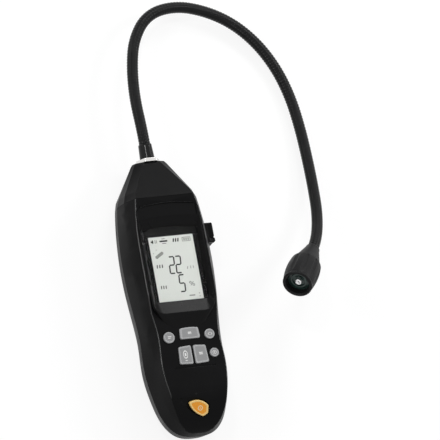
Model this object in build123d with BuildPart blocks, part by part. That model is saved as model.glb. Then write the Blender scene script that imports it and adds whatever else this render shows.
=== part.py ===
"""Handheld gas leak detector with a gooseneck probe, lying on its back.

Millimetres. +Z is up out of the display, +Y runs towards the nose and the neck,
+X is the user's right. The origin is on the flat back, at mid-length of housing
and nose.
"""
from build123d import *

import os
from math import asin, cos, degrees, radians, sin, sqrt

# Overall sizes of the moulded body
body_bottom_y = -110.75
parting_y = 77.5
nose_top_y = 110.75
split_z = 20.0
crease_z = 34.0
display_face_z = 46.0
key_face_z = 43.5
wall = 2.2
rim_edge = 1.2
parting_groove = 0.4

# Where the face steps down from the display to the keys, and rounds off
step_top_y = 0.0
step_low_y = -14.0
round_start_y = -75.0
round_radius = 44.0

# Outline of the body, nose end first. Half widths at the widest line, at the
# crease of the side wall, at the front rim and at the flat back.
stations = [
    (77.5, 31.5, 30.0, 24.2, 21.0),
    (49.0, 35.0, 33.0, 27.8, 25.0),
    (20.0, 35.75, 33.6, 28.0, 26.0),
    (-6.0, 34.1, 31.9, 27.5, 25.0),
    (-33.0, 32.5, 29.4, 24.0, 23.5),
    (-54.0, 33.3, 29.0, 25.6, 24.0),
    (-80.0, 30.0, 26.6, 23.4, 19.5),
    (-100.0, 22.8, 19.6, 16.4, 12.0),
    (-108.2, 14.0, 11.4, 9.2, 6.4),
]
end_pull = {"wide": 0.0, "crease": 2.4, "rim": 4.8, "back": 8.0}
column = {"wide": 1, "crease": 2, "rim": 3, "back": 4}

# Nose
nose_shoulder_y = 84.0
nose_edge_y = 108.8
nose_wall = 2.0
nose_tip_wall = 3.0
nose_lip_depth = 4.0
nose_lip_thickness = 1.6
nose_lip_clearance = 0.15
# Half width and height of each corner of the nose section, from the back to the
# front: at the shoulder, at the edge of the tip, and on the flat tip itself
nose_shoulder = [(20.0, 0.6), (24.4, 3.0), (28.0, 9.2), (29.3, 20.6), (27.8, 32.6), (21.6, 42.9)]
nose_edge = [(7.6, 12.2), (11.4, 13.6), (14.0, 17.2), (15.0, 22.0), (13.4, 26.4), (7.6, 30.4)]
nose_tip = [(6.6, 13.6), (10.0, 15.0), (12.4, 18.0), (13.4, 22.0), (11.8, 26.0), (6.6, 28.6)]

# Gooseneck and its fitting
neck_axis_z = 22.0
neck_radius = 4.5
neck_bore_radius = 2.6
arc_length = 25.0
headings = [90, 92, 84, 75, 52, 12, -13, -28, -45, -60, -73, -83, -88, -91, -96, -109, -129]
rises = [0, -2.4, -3.7, -4.6, -5.5, -5.3, -5.2, -5, -4, -2.7, -1.2, 0.6, 2.9, 5.7, 12.6, 20.2, 28]
ball_radius = 4.1
ball_clearance = 0.05
ball_bore_radius = 2.3
groove_depth = 1.8
nut_across_flats = 16.6
nut_thickness = 2.8
lock_nut_across_flats = 12.4
lock_nut_thickness = 3.0
ferrule_radius = 5.1
ferrule_depth = 9.0
ferrule_reach = 10.0
stub_depth = 8.0
sleeve_length = 12.8
sleeve_low_radius = 5.95
sleeve_top_radius = 5.35
push_clearance = 0.05

# Display
bezel_half_width = 26.2
bezel_top_y = 73.2
bezel_arch = 2.2
bezel_edge = 0.5
bezel_corner = 4.0
bezel_foot_y = -28.0
bezel_foot_half = 10.0
bezel_bend_y = -6.0
bezel_top_z = 46.6
bezel_plate_z = 45.0
bezel_plate_low_y = -9.0
bezel_rim = 0.8
bezel_clearance = 0.1
band_depth = 0.9
band_low_y = 62.6
band_margin = 1.2
dish_half_width = 25.0
dish_top_y = 62.0
dish_low_y = -16.4
dish_corner = 8.5
window_half_width = 22.3
window_top_y = 54.0
window_bottom_y = -6.4
window_corner = 3.0
window_top_z = 43.0
window_thickness = 1.2
window_margin = 1.4
skirt_half_width = 25.0
skirt_top_y = 64.0
skirt_low_y = -10.4
skirt_low_z = 41.8
lcd_half_width = 21.0
lcd_top_y = 50.0
lcd_bottom_y = -8.0
lcd_thickness = 2.2
lcd_gap = 0.1
lcd_frame_width = 2.4

# Boards and mat
board_top_z = 38.2
board_thickness = 1.6
board_half_width = 20.5
board_top_y = 62.0
board_bottom_y = -64.0
mat_top_y = -22.5

# Keys
key_proud = 1.2
key_clearance = 0.3
key_travel = 0.8
key_flange = 0.9
key_flange_thickness = 0.8
key_flange_gap = 0.2
round_left = (-16.7, -35.4, 4.5)
round_right = (16.8, -35.4, 4.0)
round_lower = (18.0, -50.6, 3.6)
key_centre_x = 0.45
key_top_y = -28.6
key_top_height = 9.2
key_top_half_low = 8.2
key_top_half_high = 7.6
pair_top_y = -43.0
pair_height = 15.2
pair_half_low = 12.0
pair_half_high = 11.1
pair_gap = 2.0
key_groove_y = -60.4
key_groove_half = 17.0
key_groove_width = 0.9
key_groove_depth = 0.3
power_x = -1.6
power_y = -92.0
power_long = 18.0
power_wide = 11.2
power_turn = -28.0
power_proud = 1.0
power_recess = 0.9
power_margin = 1.6
power_hollow_reach = 5.5
power_flange_drop = 3.6
power_board_depth = 6.6
power_board_thickness = 1.2
power_board_long = 17.0
power_board_wide = 19.0
power_posts = [(-5.6, 8.0), (5.6, -8.0)]
power_post_radius = 1.4
power_switch = 6.0
key_corner = 1.3

# Battery compartment on the back
door_half_width = 18.0
door_top_y = -8.0
door_bottom_y = -77.0
door_thickness = 2.2
door_clearance = 0.25
cell_radius = 7.2
cell_length = 50.4
cell_gap = 0.4
cell_top_y = -16.0
box_wall = 1.4
contact_thickness = 0.5
door_screw_radius = 1.5

# Screws that join the halves
post_radius = 3.4
screw_radius = 1.45
screw_head_radius = 2.7
screw_head_z = 8.0
screw_tip_z = 32.0
screw_places = [(-18.5, 68.0), (18.5, 68.0), (-14.5, -84.0), (14.5, -84.0)]
screw_head_height = 2.0

# Socket and its cover on the right wall
port_bottom_y = 40.0
port_top_y = 56.0
port_low_z = 21.0
port_high_z = 33.0
port_seat_x = 35.4
port_cover_thickness = 4.0
port_cover_gap = 0.1
port_pin_radius = 0.9
port_knuckle_half = 3.6
port_body_gap = 2.4
port_lug_chamfer = 1.0
socket_radius = 3.1
socket_bore = 1.8
socket_length = 12.0

socket_y = (port_bottom_y + port_top_y) / 2 + 1.0
socket_z = (port_low_z + port_high_z) / 2

# Sensor head, measured along its own axis from the end of the neck
boot_length = 21.0
boot_low_radius = 5.7
boot_high_radius = 10.9
boot_socket_depth = 10.0
head_radius = 11.9
head_wall = 1.8
sleeve_back_radius = 12.3
sleeve_belly_radius = 13.2
sleeve_end = 45.2
ring_end = 47.4
ring_inner_radius = 9.5
flute_count = 10
flute_radius = 3.0
flute_depth = 0.9
disc_at = 39.5
disc_thickness = 1.6
disc_lip_radius = 6.4
disc_lip_height = 1.2
collar_thickness = 1.1
collar_height = 0.8
cap_radius = 2.65
cap_height = 3.4
cell_can_radius = 7.6
head_board_thickness = 1.6
spigot_length = 3.6
ring_spigot_wall = 1.0

# Buzzer under the board
buzzer_radius = 6.0
buzzer_height = 6.0
buzzer_place = (8.0, 58.0 - 14.0)


os.makedirs("parts", exist_ok=True)


def save(part: BuildPart, name: str) -> None:
    """Label a finished piece and write it to its own file."""
    part.part.label = name
    export_step(part.part, f"parts/{name}.step")


def level_points(low: str, high: str, share: float, inset: float) -> list[tuple[float, float]]:
    """Half widths down one side of the body, on a level between two level lines."""
    pull = end_pull[low] + (end_pull[high] - end_pull[low]) * share
    knee = stations[5][0]
    stretch = (body_bottom_y + pull + inset - knee) / (body_bottom_y - knee)
    points = []
    for row in stations:
        y = row[0] if row[0] >= knee else knee + (row[0] - knee) * stretch
        half = row[column[low]] + (row[column[high]] - row[column[low]]) * share
        points.append((half - inset, y))
    return points


def body_level(low: str, high: str, share: float, z: float, inset: float = 0.0) -> Sketch:
    """The closed outline of the body at one height."""
    side = level_points(low, high, share, inset)
    pull = end_pull[low] + (end_pull[high] - end_pull[low]) * share
    left = [(-x, y) for x, y in reversed(side)]
    with BuildSketch(Plane.XY.offset(z)) as level:
        with BuildLine():
            Spline(*side, (0.0, body_bottom_y + pull + inset), *left)
            Line(left[-1], side[0])
        make_face()
    return level.sketch


def side_view(drop: float = 0.0) -> Sketch:
    """The side view of the front face, with all that lies under it."""
    end_y = body_bottom_y - 5.0
    run = round_start_y - end_y
    end_z = key_face_z - round_radius + sqrt(round_radius**2 - run**2)
    mid_z = key_face_z - round_radius + sqrt(round_radius**2 - (run / 2) ** 2)
    with BuildSketch(Plane.YZ) as view:
        with BuildLine():
            Polyline(
                (end_y, -5.0),
                (parting_y + 5.0, -5.0),
                (parting_y + 5.0, display_face_z - drop),
                (step_top_y, display_face_z - drop),
                (step_low_y, key_face_z - drop),
                (round_start_y, key_face_z - drop),
            )
            ThreePointArc(
                (round_start_y, key_face_z - drop),
                (round_start_y - run / 2, mid_z - drop),
                (end_y, end_z - drop),
            )
            Line((end_y, end_z - drop), (end_y, -5.0))
        make_face()
    return view.sketch


def bezel_level(
    z: float,
    half: float,
    top_y: float,
    bend: tuple[float, float],
    middle: tuple[float, float],
    foot: tuple[float, float],
) -> Sketch:
    """The outline of the display frame at one height."""
    high = top_y - bezel_arch
    with BuildSketch(Plane.XY.offset(z)) as level:
        with BuildLine():
            ThreePointArc((-half + bezel_corner, high), (0, top_y), (half - bezel_corner, high))
            Line((half - bezel_corner, high), (half, high - bezel_corner))
            Line((half, high - bezel_corner), bend)
            ThreePointArc(bend, middle, foot)
            Line(foot, (-foot[0], foot[1]))
            ThreePointArc((-foot[0], foot[1]), (-middle[0], middle[1]), (-bend[0], bend[1]))
            Line((-bend[0], bend[1]), (-half, high - bezel_corner))
            Line((-half, high - bezel_corner), (-half + bezel_corner, high))
        make_face()
    return level.sketch


def bezel_body(grow: float = 0.0) -> Part:
    """The outer form of the display frame, wide at its foot."""
    corner = dish_corner + bezel_rim + grow
    top_half = dish_half_width + bezel_rim + grow
    low_half = bezel_half_width + grow
    low_foot = bezel_foot_y - grow
    top_foot = dish_low_y - bezel_rim - grow
    turn = corner * (1 - cos(radians(45)))
    with BuildPart() as body:
        loft(
            [
                bezel_level(
                    key_face_z + bezel_clearance / 2 - grow,
                    low_half,
                    bezel_top_y + grow,
                    (low_half, bezel_bend_y),
                    (low_half - 5.6, bezel_bend_y - 13.5 - grow / 2),
                    (bezel_foot_half, low_foot),
                ),
                bezel_level(
                    bezel_top_z + grow,
                    top_half,
                    bezel_top_y - 0.4 + grow,
                    (top_half, top_foot + corner),
                    (top_half - turn, top_foot + turn),
                    (top_half - corner, top_foot),
                ),
            ],
            ruled=True,
        )
        with BuildSketch(Plane.XY.offset(key_face_z - 2 * wall)):
            with Locations((0, bezel_plate_low_y + grow)):
                Rectangle(4 * low_half, 2 * bezel_top_y, align=(Align.CENTER, Align.MIN))
        extrude(amount=bezel_plate_z - grow - key_face_z + 2 * wall, mode=Mode.SUBTRACT)
    return body.part


def skirt_shape(z: float, inset: float = 0.0) -> Sketch:
    """The outline of the frame's skirt, which hangs in the opening of the housing."""
    with BuildSketch(Plane.XY.offset(z)) as shape:
        with Locations((0, (skirt_top_y + skirt_low_y) / 2)):
            RectangleRounded(
                2 * (skirt_half_width - inset),
                skirt_top_y - skirt_low_y - 2 * inset,
                window_corner + 1.0,
            )
    return shape.sketch


def dish_level(z: float, half: float, top_y: float, low_y: float, corner: float) -> Sketch:
    """The outline of the sunk dish over the window at one height."""
    with BuildSketch(Plane.XY.offset(z)) as level:
        with BuildLine():
            ThreePointArc((-half, top_y - bezel_arch), (0, top_y), (half, top_y - bezel_arch))
            Line((half, top_y - bezel_arch), (half, low_y + corner))
            RadiusArc((half, low_y + corner), (half - corner, low_y), corner)
            Line((half - corner, low_y), (-half + corner, low_y))
            RadiusArc((-half + corner, low_y), (-half, low_y + corner), corner)
            Line((-half, low_y + corner), (-half, top_y - bezel_arch))
        make_face()
    return level.sketch


def cross_plane(y: float) -> Plane:
    """A plane across the body, seen from the keys towards the nose."""
    return Plane(origin=(0, y, 0), x_dir=(1, 0, 0), z_dir=(0, -1, 0))


def nose_level(
    y: float,
    corners: list[tuple[float, float]],
    inset: float = 0.0,
    inset_z: float = 0.0,
) -> Sketch:
    """One section across the nose, its corners given from the back to the front."""
    low = corners[0][1] + inset_z
    high = corners[-1][1] - inset_z
    right = [(half - inset, min(max(z, low), high)) for half, z in corners]
    left = [(-x, z) for x, z in reversed(right)]
    with BuildSketch(cross_plane(y)) as level:
        Polygon(*right, *left, align=None)
    return level.sketch


def top_key_shape(z: float, grow: float = 0.0) -> Sketch:
    """The wide key above the pair."""
    low = key_top_y - key_top_height - grow
    high = key_top_y + grow
    half_low = key_top_half_low + grow
    half_high = key_top_half_high + grow
    with BuildSketch(Plane.XY.offset(z)) as shape:
        with BuildLine(Plane.XY):
            Polyline(
                (key_centre_x - half_high, high - 0.6),
                (key_centre_x - half_low, low),
                (key_centre_x + half_low, low),
                (key_centre_x + half_high, high - 0.6),
            )
            ThreePointArc(
                (key_centre_x + half_high, high - 0.6),
                (key_centre_x, high),
                (key_centre_x - half_high, high - 0.6),
            )
        make_face()
        fillet(shape.vertices(), key_corner)
    return shape.sketch


def pair_key_shape(z: float, side: int, grow: float = 0.0) -> Sketch:
    """One key of the pair: side is -1 for the left one and 1 for the right."""
    inner = key_centre_x + side * (pair_gap / 2 - grow)
    high = key_centre_x + side * (pair_half_high + grow)
    low = key_centre_x + side * (pair_half_low + grow)
    top = pair_top_y + grow
    bottom = pair_top_y - pair_height - grow
    with BuildSketch(Plane.XY.offset(z)) as shape:
        Polygon((inner, top), (high, top - 0.8), (low, bottom + 0.6), (inner, bottom), align=None)
        fillet(shape.vertices(), key_corner)
    return shape.sketch


def round_key_shape(z: float, place: tuple[float, float, float], grow: float = 0.0) -> Sketch:
    """A round key at (x, y) with its radius."""
    with BuildSketch(Plane.XY.offset(z)) as shape:
        with Locations(place[:2]):
            Circle(place[2] + grow)
    return shape.sketch


def power_plane(height: float) -> Plane:
    """A plane along the rounded end of the face, at a height over it."""
    lift = Vector(*power_normal) * height
    return Plane(origin=power_centre + lift, x_dir=power_x_dir, z_dir=power_normal)


def power_shape(height: float, grow: float = 0.0, reach: float = 0.0) -> Sketch:
    """The leaf-shaped key, its long axis turned to the diagonal; a reach draws out its tip."""
    tip = -power_long / 2 - grow - reach
    half = power_long / 2 + grow
    wide = power_wide / 2 + grow
    with BuildSketch(power_plane(height)) as shape:
        with BuildLine():
            ThreePointArc((tip, 0), (-half * 0.1, wide * 0.97), (half * 0.74, wide * 0.8))
            Line((half * 0.74, wide * 0.8), (half, -wide * 0.2))
            Line((half, -wide * 0.2), (half * 0.74, -wide * 0.85))
            ThreePointArc((half * 0.74, -wide * 0.85), (-half * 0.1, -wide * 0.82), (tip, 0))
        make_face()
        fillet(shape.vertices(), key_corner)
    return shape.sketch


# Pin of the socket cover
port_knuckle_radius = port_cover_thickness / 2
port_pin_x = port_seat_x + port_cover_gap + port_knuckle_radius
port_pin_y = port_bottom_y + port_knuckle_radius

# Power key on the rounded end of the face
power_run = round_start_y - power_y
power_slope = degrees(asin(power_run / round_radius))
power_surface_z = key_face_z - round_radius + sqrt(round_radius**2 - power_run**2)
power_normal = (0, -sin(radians(power_slope)), cos(radians(power_slope)))
power_centre = Vector(power_x, power_y, power_surface_z)
power_x_dir = (
    cos(radians(power_turn)),
    sin(radians(power_turn)) * cos(radians(power_slope)),
    sin(radians(power_turn)) * sin(radians(power_slope)),
)

# Key levels, from the face down
flange_top_z = key_face_z - wall - key_flange_gap
flange_low_z = flange_top_z - key_flange_thickness
mat_top_z = flange_low_z - key_travel - key_flange_gap
board_low_z = board_top_z - board_thickness

# Battery box
box_half = 2 * cell_radius + cell_gap + box_wall + 0.3
box_top_y = cell_top_y + contact_thickness + 0.4 + box_wall
box_low_y = cell_top_y - cell_length - contact_thickness - 0.4 - box_wall
box_high_z = door_thickness + 4 * cell_radius + 2 * cell_gap + 0.6
box_mid_y = (box_top_y + box_low_y) / 2
door_mid_y = (door_top_y + door_bottom_y) / 2
door_screw_y = door_bottom_y + 4.0

rear_levels = ((0.0, 0.0), (0.46, 2.6), (0.84, 9.0), (1.0, split_z))

rear_inner_levels = ((0.05, wall), (0.46, 2.0 * wall), (0.84, 9.6), (1.0, split_z))

# Rear half of the housing
with BuildPart() as rear_housing:
    loft([body_level("back", "wide", share, z) for share, z in rear_levels], ruled=True)
    loft(
        [body_level("back", "wide", share, z, wall) for share, z in rear_inner_levels],
        ruled=True,
        mode=Mode.SUBTRACT,
    )
    # Battery box, open to the back
    with BuildSketch(Plane.XY.offset(wall)):
        with Locations((0, box_mid_y)):
            Rectangle(2 * box_half, box_top_y - box_low_y)
    extrude(amount=box_high_z + box_wall - wall)
    with BuildSketch(Plane.XY):
        with Locations((0, box_mid_y)):
            Rectangle(2 * (box_half - box_wall), box_top_y - box_low_y - 2 * box_wall)
    extrude(amount=box_high_z, mode=Mode.SUBTRACT)
    # Bed of the battery door, and the boss under its screw
    with BuildSketch(Plane.XY.offset(wall)):
        with Locations((0, door_mid_y)):
            RectangleRounded(2 * door_half_width + 2 * wall, door_top_y - door_bottom_y + 2 * wall, 3.0)
        with Locations((0, box_mid_y)):
            Rectangle(2 * (box_half - box_wall), box_top_y - box_low_y - 2 * box_wall, mode=Mode.SUBTRACT)
    extrude(amount=wall)
    with BuildSketch(Plane.XY.offset(2 * wall)):
        with Locations((0, door_screw_y)):
            Circle(post_radius)
    extrude(amount=5.0)
    with BuildSketch(Plane.XY):
        with Locations((0, door_mid_y)):
            RectangleRounded(2 * door_half_width, door_top_y - door_bottom_y, 3.0)
    extrude(amount=door_thickness, mode=Mode.SUBTRACT)
    with BuildSketch(Plane.XY.offset(door_thickness)):
        with Locations((0, door_screw_y)):
            Circle(door_screw_radius + push_clearance)
    extrude(amount=6.0, mode=Mode.SUBTRACT)
    # Posts for the screws that join the halves
    with BuildSketch(Plane.XY.offset(wall)):
        with Locations(*screw_places):
            Circle(post_radius)
    extrude(amount=split_z - wall)
    with BuildSketch(Plane.XY):
        with Locations(*screw_places):
            Circle(screw_head_radius + 0.2)
    extrude(amount=screw_head_z, mode=Mode.SUBTRACT)
    with BuildSketch(Plane.XY.offset(screw_head_z)):
        with Locations(*screw_places):
            Circle(screw_radius + 0.2)
    extrude(amount=split_z, mode=Mode.SUBTRACT)
save(rear_housing, "rear_housing")

front_levels = (
    ("wide", "wide", 0.0, split_z),
    ("crease", "crease", 0.0, crease_z),
    ("rim", "rim", 0.0, display_face_z),
)


def front_form(inset: float = 0.0) -> Part:
    """The form of the front half, whole or drawn in by a wall."""
    with BuildPart() as form:
        loft([body_level(*level, inset) for level in front_levels], ruled=True)
        extrude(side_view(inset), amount=60, both=True, mode=Mode.INTERSECT)
    return form.part


def front_bosses() -> Part:
    """The screw bosses under the face."""
    with BuildPart() as bosses:
        with BuildSketch(Plane.XY.offset(split_z)):
            with Locations(*screw_places):
                Circle(post_radius)
        extrude(amount=display_face_z - split_z)
        extrude(side_view(wall / 2), amount=60, both=True, mode=Mode.INTERSECT)
    return bosses.part


def is_rim_edge(edge: Edge) -> bool:
    """Whether an edge of the front form runs along the rim of the face."""
    box = edge.bounding_box()
    along = box.size.Y > 8 and box.size.X < 40 and abs(edge.center().X) > 5
    return along and box.min.Z > crease_z - 1 and box.max.Z > key_face_z - 1


# Front half of the housing
with BuildPart() as front_housing:
    add(front_form())
    fillet([edge for edge in front_housing.edges() if is_rim_edge(edge)], rim_edge)
    add(front_form(wall), mode=Mode.SUBTRACT)
    add(front_bosses())
    with BuildSketch(Plane.XY.offset(split_z)):
        with Locations(*screw_places):
            Circle(screw_radius + push_clearance)
    extrude(amount=screw_tip_z + 1.0 - split_z, mode=Mode.SUBTRACT)
    # Seat of the socket cover on the right wall
    with BuildSketch(Plane.YZ.offset(port_seat_x - 6.0)):
        with Locations(((port_bottom_y + port_top_y) / 2, (port_low_z + port_high_z) / 2)):
            Rectangle(port_top_y - port_bottom_y, port_high_z - port_low_z)
    extrude(amount=6.0)
    with BuildSketch(Plane.YZ.offset(port_seat_x)):
        with Locations((socket_y, socket_z)):
            Circle(socket_radius + push_clearance)
    extrude(amount=-10.0, mode=Mode.SUBTRACT)
    # Bed of the display frame, and the opening for its skirt
    add(bezel_body(bezel_clearance), mode=Mode.SUBTRACT)
    extrude(skirt_shape(skirt_low_z - wall, -bezel_clearance), amount=10, mode=Mode.SUBTRACT)
    # Lugs for the pin of the socket cover
    with BuildSketch(Plane.XY.offset(port_low_z)):
        Polygon(
            (port_seat_x - 2.0, port_pin_y - port_knuckle_radius),
            (port_pin_x + port_knuckle_radius - port_lug_chamfer, port_pin_y - port_knuckle_radius),
            (port_pin_x + port_knuckle_radius, port_pin_y - port_knuckle_radius + port_lug_chamfer),
            (port_pin_x + port_knuckle_radius, port_pin_y + port_knuckle_radius - port_lug_chamfer),
            (port_pin_x + port_knuckle_radius - port_lug_chamfer, port_pin_y + port_knuckle_radius),
            (port_seat_x - 2.0, port_pin_y + port_knuckle_radius),
            align=None,
        )
    extrude(amount=port_high_z - port_low_z)
    with BuildSketch(Plane.XY.offset(socket_z - port_knuckle_half - push_clearance * 4)):
        with Locations((port_seat_x, port_pin_y)):
            Rectangle(20, 3 * port_knuckle_radius, align=(Align.MIN, Align.CENTER))
    extrude(amount=2 * port_knuckle_half + push_clearance * 8, mode=Mode.SUBTRACT)
    with BuildSketch(Plane.XY.offset(port_low_z)):
        with Locations((port_pin_x, port_pin_y)):
            Circle(port_pin_radius)
    extrude(amount=port_high_z - port_low_z, mode=Mode.SUBTRACT)
    # Key holes
    for place in (round_left, round_right, round_lower):
        hole = round_key_shape(key_face_z - 2 * wall, place, key_clearance)
        extrude(hole, amount=3 * wall, mode=Mode.SUBTRACT)
    hole = top_key_shape(key_face_z - 2 * wall, key_clearance)
    extrude(hole, amount=3 * wall, mode=Mode.SUBTRACT)
    for side in (-1, 1):
        hole = pair_key_shape(key_face_z - 2 * wall, side, key_clearance)
        extrude(hole, amount=3 * wall, mode=Mode.SUBTRACT)
    # Shallow groove under the keys
    with BuildSketch(Plane.XY.offset(key_face_z - key_groove_depth)):
        with Locations((key_centre_x, key_groove_y)):
            SlotOverall(2 * key_groove_half, key_groove_width)
    extrude(amount=wall, mode=Mode.SUBTRACT)
    # Posts that carry the board of the power key
    with BuildSketch(power_plane(-wall / 2)):
        with Locations(*power_posts):
            Circle(power_post_radius)
    extrude(amount=wall / 2 + 2 * push_clearance - power_board_depth)
    # Hollow and hole of the power key
    extrude(
        power_shape(-power_recess, power_margin, power_hollow_reach),
        amount=10,
        mode=Mode.SUBTRACT,
    )
    extrude(power_shape(-3 * wall, key_clearance), amount=10, mode=Mode.SUBTRACT)
save(front_housing, "front_housing")

# Frame round the display, with its sunk dish
with BuildPart() as display_bezel:
    add(bezel_body())
    fillet(display_bezel.faces().sort_by(Axis.Z)[-1].edges(), bezel_edge)
    extrude(skirt_shape(skirt_low_z), amount=bezel_plate_z + 0.4 - skirt_low_z)
    loft(
        [
            dish_level(window_top_z, window_half_width, window_top_y, window_bottom_y, window_corner),
            dish_level(bezel_top_z, dish_half_width, dish_top_y, dish_low_y, dish_corner),
        ],
        ruled=True,
        mode=Mode.SUBTRACT,
    )
    # Rebate for the window, from below
    with BuildSketch(Plane.XY.offset(skirt_low_z)):
        with Locations((0, (window_top_y + window_bottom_y) / 2)):
            RectangleRounded(
                2 * (window_half_width + window_margin + push_clearance),
                window_top_y - window_bottom_y + 2 * (window_margin + push_clearance),
                window_corner,
            )
    extrude(amount=window_top_z - skirt_low_z, mode=Mode.SUBTRACT)
    # Shallow band across the top
    with BuildSketch(Plane.XY.offset(bezel_top_z - band_depth)):
        with BuildLine():
            ThreePointArc(
                (-dish_half_width + band_margin, bezel_top_y - bezel_arch - band_margin),
                (0, bezel_top_y - band_margin),
                (dish_half_width - band_margin, bezel_top_y - bezel_arch - band_margin),
            )
            Line((dish_half_width - band_margin, bezel_top_y - bezel_arch - band_margin),
                 (dish_half_width - band_margin, band_low_y - bezel_arch))
            ThreePointArc(
                (dish_half_width - band_margin, band_low_y - bezel_arch),
                (0, band_low_y),
                (-dish_half_width + band_margin, band_low_y - bezel_arch),
            )
            Line((-dish_half_width + band_margin, band_low_y - bezel_arch),
                 (-dish_half_width + band_margin, bezel_top_y - bezel_arch - band_margin))
        make_face()
    extrude(amount=4, mode=Mode.SUBTRACT)
save(display_bezel, "display_bezel")

# Window
with BuildPart() as display_window:
    with BuildSketch(Plane.XY.offset(window_top_z - window_thickness)):
        with Locations((0, (window_top_y + window_bottom_y) / 2)):
            RectangleRounded(
                2 * (window_half_width + window_margin),
                window_top_y - window_bottom_y + 2 * window_margin,
                window_corner,
            )
    extrude(amount=window_thickness)
save(display_window, "display_window")

# Liquid crystal cell and the frame that carries it on the board
lcd_top_z = window_top_z - window_thickness - lcd_gap
lcd_mid_y = (lcd_top_y + lcd_bottom_y) / 2
with BuildPart() as lcd_panel:
    with BuildSketch(Plane.XY.offset(lcd_top_z - lcd_thickness)):
        with Locations((0, lcd_mid_y)):
            Rectangle(2 * lcd_half_width, lcd_top_y - lcd_bottom_y)
    extrude(amount=lcd_thickness)
save(lcd_panel, "lcd_panel")

with BuildPart() as lcd_holder:
    with BuildSketch(Plane.XY.offset(board_top_z)):
        with Locations((0, lcd_mid_y)):
            Rectangle(2 * lcd_half_width, lcd_top_y - lcd_bottom_y)
            Rectangle(
                2 * (lcd_half_width - lcd_frame_width),
                lcd_top_y - lcd_bottom_y - 2 * lcd_frame_width,
                mode=Mode.SUBTRACT,
            )
    extrude(amount=lcd_top_z - lcd_thickness - board_top_z)
save(lcd_holder, "lcd_holder")

# Main board, screwed under the face
with BuildPart() as main_board:
    with BuildSketch(Plane.XY.offset(board_low_z)):
        with Locations((0, (board_top_y + board_bottom_y) / 2)):
            RectangleRounded(2 * board_half_width, board_top_y - board_bottom_y, 2.0)
    extrude(amount=board_thickness)
save(main_board, "main_board")

# Rubber mat with a dome under each key
key_shapes = {
    "key_round_left": lambda z, grow=0.0: round_key_shape(z, round_left, grow),
    "key_round_right": lambda z, grow=0.0: round_key_shape(z, round_right, grow),
    "key_round_lower": lambda z, grow=0.0: round_key_shape(z, round_lower, grow),
    "key_top": lambda z, grow=0.0: top_key_shape(z, grow),
    "key_left": lambda z, grow=0.0: pair_key_shape(z, -1, grow),
    "key_right": lambda z, grow=0.0: pair_key_shape(z, 1, grow),
}
mat_low_y = pair_top_y - pair_height - 3.0
with BuildPart() as keypad_mat:
    with BuildSketch(Plane.XY.offset(board_top_z)):
        with Locations((0, (mat_top_y + mat_low_y) / 2)):
            RectangleRounded(2 * board_half_width, mat_top_y - mat_low_y, 2.0)
    extrude(amount=mat_top_z - board_top_z)
save(keypad_mat, "keypad_mat")

# Keys: each has a flange under the face that keeps it in
for key_name, shape in key_shapes.items():
    with BuildPart() as key:
        extrude(shape(flange_low_z), amount=key_face_z + key_proud - flange_low_z)
        chamfer(key.faces().sort_by(Axis.Z)[-1].edges(), 0.35)
        extrude(shape(flange_low_z, key_flange), amount=key_flange_thickness)
    save(key, key_name)

power_flange_low = -power_flange_drop - key_flange_thickness
with BuildPart() as power_key:
    extrude(power_shape(power_flange_low), amount=power_proud - power_flange_low)
    chamfer(power_key.faces().sort_by(Axis(power_centre, power_normal))[-1].edges(), 0.35)
    extrude(power_shape(power_flange_low, key_flange), amount=key_flange_thickness)
save(power_key, "power_key")

# Switch board under the power key
with BuildPart() as power_board:
    with BuildSketch(power_plane(-power_board_depth)):
        Rectangle(power_board_long, power_board_wide)
    extrude(amount=-power_board_thickness)
    with BuildSketch(power_plane(-power_board_depth)):
        Rectangle(power_switch, power_switch)
    extrude(amount=1.0)
save(power_board, "power_board")

# Buzzer
with BuildPart() as buzzer:
    with BuildSketch(Plane.XY.offset(board_low_z)):
        with Locations(buzzer_place):
            Circle(buzzer_radius)
    extrude(amount=-buzzer_height)
    with BuildSketch(Plane.XY.offset(board_low_z - buzzer_height)):
        with Locations(buzzer_place):
            Circle(1.2)
    extrude(amount=2.0, mode=Mode.SUBTRACT)
save(buzzer, "buzzer")

# Battery door and its screw
with BuildPart() as battery_door:
    with BuildSketch():
        with Locations((0, door_mid_y)):
            RectangleRounded(
                2 * (door_half_width - door_clearance),
                door_top_y - door_bottom_y - 2 * door_clearance,
                3.0 - door_clearance,
            )
    extrude(amount=door_thickness - push_clearance)
    with Locations(Location((0, door_screw_y, 0), (180, 0, 0))):
        CounterBoreHole(door_screw_radius + 0.15, screw_head_radius + 0.15, 1.5, door_thickness)
save(battery_door, "battery_door")

with BuildPart() as door_screw:
    with BuildSketch(Plane.XY.offset(0.3)):
        with Locations((0, door_screw_y)):
            Circle(screw_head_radius)
    extrude(amount=1.2)
    with BuildSketch(Plane.XY.offset(0.3)):
        with Locations((0, door_screw_y)):
            Circle(door_screw_radius)
    extrude(amount=7.0)
    with BuildSketch(Plane.XY.offset(0.3)):
        with Locations((0, door_screw_y)):
            Rectangle(3.2, 0.7)
            Rectangle(0.7, 3.2)
    extrude(amount=0.8, mode=Mode.SUBTRACT)
save(door_screw, "door_screw")

# Four cells, two by two
cell_low_z = door_thickness + cell_gap / 2 + cell_radius
cell_high_z = cell_low_z + 2 * cell_radius + cell_gap
cell_x = cell_radius + cell_gap / 2
with BuildPart() as cells:
    with BuildSketch(cross_plane(cell_top_y)):
        with Locations(*[(x, z) for x in (-cell_x, cell_x) for z in (cell_low_z, cell_high_z)]):
            Circle(cell_radius)
    extrude(amount=cell_length)
save(cells, "cells")

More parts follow.
